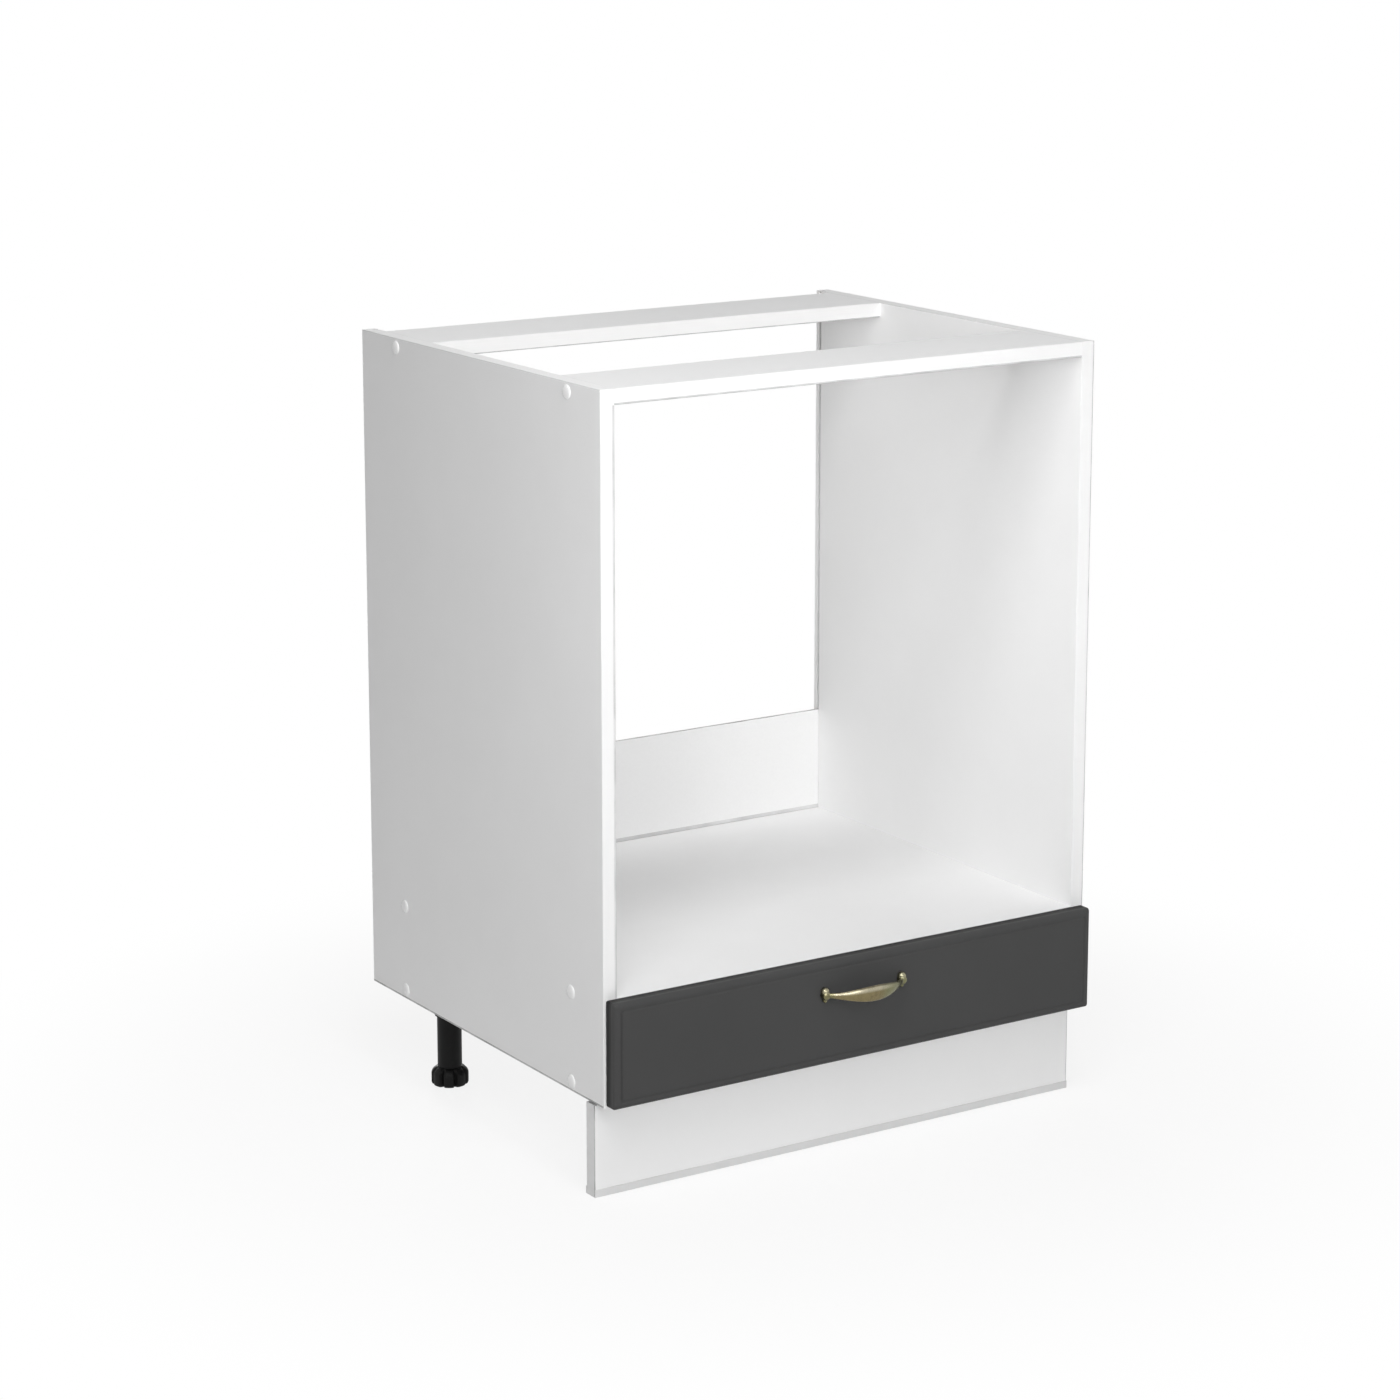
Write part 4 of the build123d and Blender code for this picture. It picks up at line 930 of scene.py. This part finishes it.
# %% Spread the patina
patina_and_shade_layer, olive_layer, painted_highlight_layer = (
    shape.verts.layers.float.new(name) for name in ("patina", "olive", "rubbed")
)
for vert in shape.verts:
    x_mm = vert.co.x / MM
    along = min(abs(vert.co.x) / (post_x * MM), 1.0)
    half_width = (end_wide + leaf_wide * math.cos(along * math.pi / 2) ** LEAF_POWER) / 2 * MM
    height = (vert.co.z - handle_z) / half_width
    # The feet begin at 84 to 92 percent of the way out.
    on_leaf = 1.0 - eased_step((along - 0.84) / 0.08)
    # What turns away from the front, most of all along the upper rim, is darkened by patina and painted shade.
    turned_away = eased_step((vert.normal.y + (0.6 if height > 0 else 0.35)) / 0.5)
    upper_rim = 0.7 * eased_step((height - 0.72) / 0.2)
    behind = max(vert.normal.y - 0.2, 0.0)
    patina = min(0.05 + on_leaf * max(turned_away, upper_rim) * 0.9 + (1.0 - on_leaf) * behind, 1.0)
    # The upper edge of the leaf and the top of each ball get a painted highlight.
    upper = eased_step((height - 0.15) / 0.4) * on_leaf * (1.0 - eased_step((x_mm - 5) / 25))
    ball_top = eased_step((vert.co.z - handle_z) / MM / 6) * (1.0 - on_leaf)
    vert[patina_and_shade_layer] = patina
    vert[olive_layer] = max(eased_step((x_mm - 1) / 16), 0.6 * (1.0 - on_leaf))
    vert[painted_highlight_layer] = (0.75 * upper + 0.45 * ball_top) * (1.0 - patina)
shape.to_mesh(handle.data)
shape.free()
settle(smoothed(handle, sharp_degrees=50), "drawer", "drawer_handle")
print("handle faces:", len(handle.data.polygons))

# %% [markdown]
# ## Screws, nails and caps
#
# Fasteners repeat, so each kind is modelled once and a Geometry Nodes tree
# sets it on all its places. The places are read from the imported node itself:
# every loose part of it is one fastener, its axis is its odd side, and its
# head is the end with the widest ring. The tree turns each one about its own
# axis by a random angle from a fixed seed, because nobody lines up the slots.

# %% Where the fasteners sit
def loose_parts(shape):
    """The places of the vertices of each loose part of a shape."""
    parts, seen = [], set()
    for first in shape.verts:
        if first in seen:
            continue
        part, waiting = [], [first]
        seen.add(first)
        while waiting:
            vert = waiting.pop()
            part.append(vert.co.copy())
            for edge in vert.link_edges:
                other = edge.other_vert(vert)
                if other not in seen:
                    seen.add(other)
                    waiting.append(other)
        parts.append(part)
    return parts


def off_axis(co, middle, axis):
    """Square of a place's distance from the line through the middle along an axis."""
    return (co - middle).length_squared - (co[axis] - middle[axis]) ** 2


def fastener_places(name, axis_is_short=False):
    """(middle of the head's outer side, direction out of the head) of each loose part of a node."""
    shape = welded_copy(name)
    places = []
    for part in loose_parts(shape):
        low = Vector(min(co[i] for co in part) for i in range(3))
        high = Vector(max(co[i] for co in part) for i in range(3))
        size, middle = high - low, (low + high) / 2
        axis = (min if axis_is_short else max)(range(3), key=lambda i: size[i])
        widest = max(part, key=lambda co: (co - middle).length - abs(co[axis] - middle[axis]))
        wide = off_axis(widest, middle, axis)
        ring = [co for co in part if abs(off_axis(co, middle, axis) - wide) < 1e-9]
        side = sum(co[axis] for co in ring) / len(ring) - middle[axis]
        sign = (-1 if side > 0 else 1) if axis_is_short else (1 if side > 0 else -1)
        facing, head = Vector((0, 0, 0)), middle.copy()
        facing[axis] = sign
        head[axis] = high[axis] if sign > 0 else low[axis]
        places.append((head, facing))
    shape.free()
    return places


def place_cloud(name, places):
    """A mesh of single points that carry the direction of each fastener."""
    mesh = bpy.data.meshes.new(name)
    mesh.from_pydata([place for place, facing in places], [], [])
    facing_out = mesh.attributes.new("facing", "FLOAT_VECTOR", "POINT")
    for index, (place, facing) in enumerate(places):
        facing_out.data[index].vector = facing
    cloud = bpy.data.objects.new(name, mesh)
    bpy.context.scene.collection.objects.link(cloud)
    return cloud


# %% The tree that sets fasteners
set_tree, given, result = new_tree("set_of_fasteners", {
    "Pattern": "Object", "Finish": "Material", "Seed": "Int", "Greatest Turn": "Float",
})
carried = {"Name": "facing"}
facing = node(set_tree, "GeometryNodeInputNamedAttribute", carried, data_type="FLOAT_VECTOR").outputs[0]
stand = node(set_tree, "FunctionNodeAlignRotationToVector", {"Vector": facing}, axis="Z").outputs[0]
drawn_turn = {3: given["Greatest Turn"], "Seed": given["Seed"]}
chance = node(set_tree, "FunctionNodeRandomValue", drawn_turn, data_type="FLOAT").outputs[1]
spin = node(set_tree, "FunctionNodeAxisAngleToRotation", {"Axis": (0, 0, 1), "Angle": chance}).outputs[0]
both_turns = {0: stand, 1: spin}
turned_in = node(set_tree, "FunctionNodeRotateRotation", both_turns, rotation_space="LOCAL").outputs[0]
pattern = node(set_tree, "GeometryNodeObjectInfo", {"Object": given["Pattern"]}).outputs["Geometry"]
on_places = {"Points": given["Geometry"], "Instance": pattern, "Rotation": turned_in}
copies = node(set_tree, "GeometryNodeInstanceOnPoints", on_places).outputs[0]
end_tree(set_tree, copies, given["Finish"], result)
print("nodes in the fasteners' tree:", len(set_tree.nodes))

# %% [markdown]
# A screw head is a stack of rings round one axis. Two rings follow the mouth
# of the drive recess, one at the face and one deeper down, and a function of
# the angle gives their radius: a cross for wood and machine screws, a hexagon
# for the confirmats. Further rings form the head, and the shank's rings swell
# in and out along a helix, which is the thread.

# %% Recesses and heads
def cross_recess(arm, half_width):
    """Radius of a cross-shaped recess in the direction of an angle, in mm."""
    def radius(angle):
        fold = abs((angle + math.pi / 4) % (math.pi / 2) - math.pi / 4)
        return min(arm / math.cos(fold), half_width / max(math.sin(fold), 1e-6))
    return radius


def hexagon_recess(across_flats):
    """Radius of a six-sided socket in the direction of an angle, in mm."""
    def radius(angle):
        return across_flats / 2 / math.cos((angle + math.pi / 6) % (math.pi / 3) - math.pi / 6)
    return radius


def pan_head(radius, height):
    """Outline of a low domed head, from its middle to its foot, moved so that its top is at 0."""
    outline = ((0.0, 0.0), (0.35, 0.03), (0.62, 0.12), (0.86, 0.33), (1.0, 0.62), (1.0, 1.0))
    return [(radius * out, -height * down) for out, down in outline]


# %% Patterns of the fasteners
def screw_pattern(name, head, recess, recess_depth, shank_r, length, pitch, thread_depth, plain=0.0, rounds=24):
    """A screw with its head's top at Z = 0 and its tip at minus its length, sizes in mm."""
    shape = bmesh.new()
    angles = [2 * math.pi * step / rounds for step in range(rounds)]

    def ring(radius_of, z):
        return [
            shape.verts.new((radius_of(a) * math.cos(a) * MM, radius_of(a) * math.sin(a) * MM, z * MM))
            for a in angles
        ]

    face_z, under = head[0][1], head[-1][1]
    rings = []
    if recess:
        # It narrows towards its bottom.
        rings.append(ring(lambda a: recess(a) * 0.55, face_z - recess_depth))
        rings.append(ring(lambda a: recess(a) * 0.9, face_z - recess_depth * 0.75))
        rings.append(ring(recess, face_z))
    for radius, z in head[1:] if recess else head:
        rings.append(ring(lambda a, r=radius: r, z))
    if plain:
        rings.append(ring(lambda a: shank_r, under - plain))
    thread_length = length + under - plain - shank_r
    steps = max(int(thread_length / pitch * 4), 2)
    for step in range(steps + 1):
        level = under - plain - thread_length * step / steps
        deep = thread_depth * min(step / 4, 1.0) * min((steps - step) / 4, 1.0)
        turn = 2 * math.pi * level / pitch
        rings.append(ring(lambda a, t=turn, d=deep: shank_r - d * (0.5 + 0.5 * math.cos(t + a)), level))
    skin(shape, rings)
    top, bottom = rings[0], rings[-1]
    tip = shape.verts.new((0, 0, -length * MM))
    crown = shape.verts.new((0, 0, sum(v.co.z for v in top) / rounds))
    for index in range(rounds):
        after = (index + 1) % rounds
        shape.faces.new((bottom[index], bottom[after], tip))
        shape.faces.new((top[after], top[index], crown))
    bmesh.ops.recalc_face_normals(shape, faces=shape.faces)
    return smoothed(new_piece(name, shape, []), sharp_degrees=40)


def set_fasteners(name, node_name, body, pattern, finish, seed, turn=2 * math.pi, axis_is_short=False):
    """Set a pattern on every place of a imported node, as one plain mesh."""
    places = fastener_places(node_name, axis_is_short)
    cloud = place_cloud(name, places)
    grow(cloud, set_tree, {"Pattern": pattern, "Finish": finish, "Seed": seed, "Greatest Turn": turn})
    settle(cloud, body, node_name)
    print(f"{name}: {len(places)} places, {len(cloud.data.polygons)} faces")


wood_cross, key_hexagon = cross_recess(2.1, 0.55), hexagon_recess(4.0)
flat_head = [(0.0, 0.0), (3.5, 0.0), (3.8, -0.12), (1.9, -1.9)]
confirmat_head = [(0.0, 0.0), (4.7, 0.0), (5.0, -0.25), (5.0, -1.4), (3.5, -3.0)]
nail_head = [(0.0, 0.0), (1.6, 0.0), (1.8, -0.15), (1.8, -0.5), (0.8, -0.5)]
# Head, recess and its depth, then the shank's radius, the length, the thread's pitch and depth, and where they
# differ from the usual the shank's plain part and the number of corners round it.
patterns = {
    kind: screw_pattern(kind, *sizes) for kind, sizes in {
        "confirmat": (confirmat_head, key_hexagon, 2.4, 3.45, 50.0, 3.0, 0.9, 13.0),
        "flat": (flat_head, wood_cross, 1.6, 1.9, 16.0, 1.8, 0.5),
        "pan": (pan_head(3.8, 2.0), wood_cross, 1.5, 1.9, 18.0, 1.8, 0.5),
        "front": (pan_head(3.8, 2.0), wood_cross, 1.5, 1.9, 30.0, 1.8, 0.5),
        "machine": (pan_head(4.0, 2.2), wood_cross, 1.6, 2.0, 24.2, 0.7, 0.2),
        "nail": (nail_head, None, 0.0, 0.8, 22.5, 2.0, 0.0, 0.0, 12),
    }.items()
}

# %% Set all fasteners
jobs = [
    ("carcass_confirmats", "carcass_screws", "carcass", "confirmat"),
    ("drawer_confirmats", "drawer_box_screws", "drawer", "confirmat"),
    ("socket_screws", "leg_screws", "carcass", "flat"),
    ("clip_screws", "plinth_clip_screws", "plinth", "pan"),
    ("fixed_runner_screws", "cabinet_runner_screws", "carcass", "pan"),
    ("moving_runner_screws", "drawer_runner_screws", "drawer", "pan"),
    ("front_fixing_screws", "drawer_front_screws", "drawer", "front"),
    ("handle_fixing_screws", "handle_screws", "drawer", "machine"),
    ("strip_nails", "back_strip_nails", "carcass", "nail"),
    ("bottom_nails", "drawer_bottom_nails", "drawer", "nail"),
]
for seed, (name, node_name, body, kind) in enumerate(jobs):
    set_fasteners(name, node_name, body, patterns[kind], bright_zinc, seed)

# %% [markdown]
# The caps are shallow domes pressed over the confirmat heads, with a rounded
# rim that leaves a thin shadow line on the board. The riveted pins of the
# rollers keep their modelled flat heads. Once every fastener is set, the
# patterns themselves are thrown away.

# %% Caps and pins
cap_r, cap_high, cap_wide = 7.4, 2.35, 7.5
cap_steps = (0.0, 0.16, 0.32, 0.48, 0.62, 0.74, 0.84, 0.91, 0.96, 0.99, 1.0)
cap_outline = [(cap_r * share, cap_high * (math.sqrt(1 - share ** 2) - 1)) for share in cap_steps]
cap_outline += [(cap_wide, -2.45), (7.42, -2.6), (0.0, -2.6)]
cap_shape = turned(cap_outline, Vector((0, 0, 0)), (0, 0, 1), rounds=40)
cap = smoothed(new_piece("cap", cap_shape, []), sharp_degrees=40)
set_fasteners("caps", "screw_caps", "carcass", cap, cap_plastic, 20, 0.0, axis_is_short=True)
for node_name, body in {"cabinet_roller_pins": "carcass", "drawer_roller_pins": "drawer"}.items():
    small_part(node_name, body, bright_zinc)
for pattern in list(patterns.values()) + [cap]:
    bpy.data.objects.remove(pattern)

# %% [markdown]
# ## Floor, light and camera
#
# The studio is a pale floor under a white sky. The lamps stay at a level at
# which a colour renders about as it is written. A large softbox in front lights
# the fronts, one high up the rails, one on the left the side panel. A lamp
# behind a grid reaches only the right wall of the niche, and a wide one behind
# the cabinet fills it through its open rear. The even sky fills the shadows.
# The floor keeps the cabinet's shadow and fades to white further out.

# %% The floor
floor_r, floor_z = 9.0, -0.0004
bpy.ops.mesh.primitive_circle_add(vertices=96, radius=floor_r, fill_type="NGON", location=(0, 0, floor_z))
floor = bpy.context.object
floor.name = "studio_floor"
floor_paper, tree, surface, place = start_finish("white_paper_floor", Roughness=0.9)
fibres = node(tree, "ShaderNodeTexNoise", {"Vector": place, "Scale": per_metre(40), "Detail": 4.0}).outputs["Fac"]
tree.links.new(coats(tree, "#f7f7f7", (fibres, "#f3f3f3")), surface.inputs["Base Color"])
# To the camera and in reflections 84 percent of the paper is plain white light under the cabinet, and all of it
# from 0.95 m out, so that the shadow fades away.
away = node(tree, "ShaderNodeVectorMath", {0: place}, operation="LENGTH").outputs["Value"]
ends = {0: away, 1: 0.35, 2: 0.95, 3: 0.84}
fade = node(tree, "ShaderNodeMapRange", ends, interpolation_type="SMOOTHSTEP").outputs[0]
path = node(tree, "ShaderNodeLightPath").outputs
seen = node(tree, "ShaderNodeMath", {0: path["Is Camera Ray"], 1: path["Is Glossy Ray"]}, operation="MAXIMUM")
white_share = node(tree, "ShaderNodeMath", {0: fade, 1: seen.outputs[0]}, operation="MULTIPLY").outputs[0]
glow = node(tree, "ShaderNodeEmission", {"Color": (1, 1, 1, 1), "Strength": 1.0}).outputs[0]
both = node(tree, "ShaderNodeMixShader", {0: white_share, 1: surface.outputs[0], 2: glow}).outputs[0]
tree.links.new(both, tree.nodes["Material Output"].inputs["Surface"])
floor.data.materials.append(floor_paper)

# %% The sky and the softboxes
world = bpy.data.worlds.new("white_studio")
bpy.context.scene.world = world
world.use_nodes = True
tree = world.node_tree
tree.nodes.clear()
path = node(tree, "ShaderNodeLightPath").outputs
seen = node(tree, "ShaderNodeMath", {0: path["Is Camera Ray"], 1: path["Is Glossy Ray"]}, operation="MAXIMUM")
through_too = {0: seen.outputs[0], 1: path["Is Transmission Ray"]}
white_seen = node(tree, "ShaderNodeMath", through_too, operation="MAXIMUM").outputs[0]
# The sky is white to look at, and lights the cabinet with a fifth of that.
strength = node(tree, "ShaderNodeMapRange", {0: white_seen, 3: 0.2, 4: 1.0}).outputs[0]
sky = node(tree, "ShaderNodeBackground", {"Color": (1, 1, 1, 1), "Strength": strength})
node(tree, "ShaderNodeOutputWorld", {"Surface": sky.outputs[0]})


def softbox(name, place, target, size, watts, spread_degrees=180.0):
    """A square area lamp that looks at its target. A small spread is a lamp behind a grid."""
    lamp = bpy.data.lights.new(name, "AREA")
    lamp.shape = "SQUARE"
    lamp.size = size
    lamp.energy = watts
    lamp.spread = math.radians(spread_degrees)
    holder = bpy.data.objects.new(name, lamp)
    holder.visible_camera = False
    holder.location = place
    holder.rotation_euler = (Vector(target) - Vector(place)).to_track_quat("-Z", "Y").to_euler()
    bpy.context.scene.collection.objects.link(holder)


# Name, place and target, then the lamp's size in metres and its watts.
softbox("front_softbox", (-0.6, -2.8, 1.3), (0, 0, 0.45), 1.6, 24.0)
softbox("high_key", (-0.5, -1.0, 2.6), (0, 0.1, 0.5), 0.6, 15.0)
softbox("left_softbox", (-1.1, -1.1, 1.5), (-0.1, 0, 0.5), 0.7, 8.2)
softbox("gridded_lamp", (-1.6, -2.0, 1.1), (0.55, 0.1, 0.5), 0.5, 0.43, spread_degrees=25.0)
softbox("rear_fill", (0.9, 2.6, 0.45), (0, 0, 0.4), 0.9, 32.0)
print("lamps:", len(bpy.data.lights))

# %% [markdown]
# ## The camera
#
# The camera stands where the photograph was taken, found from the cabinet's
# corners: well back, a little above the top, looking down by under twelve
# degrees. The picture was trimmed below the middle of the lens, which the
# small vertical shift repeats.

# %% Camera of the photograph
tilt_down, turn_right = 11.66, 32.85
camera_data = bpy.data.cameras.new("photo_camera")
camera_data.lens = 95.7
camera_data.sensor_width = 36.0
camera_data.shift_y = -0.1
camera_data.clip_end = 60.0
camera = bpy.data.objects.new("photo_camera", camera_data)
camera.location = (-2.118, -3.21115, 1.377)
camera.rotation_euler = (math.radians(90 - tilt_down), 0.0, math.radians(-turn_right))
bpy.context.scene.collection.objects.link(camera)
bpy.context.scene.camera = camera
bpy.context.scene.view_settings.view_transform = "Standard"
print("camera in metres:", [round(value, 3) for value in camera.location])

# %% Sizes, and the end
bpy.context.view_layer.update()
faces = sum(len(o.data.polygons) for o in bpy.context.scene.objects if o.type == "MESH" and not o.hide_render)
print("shown faces:", faces)
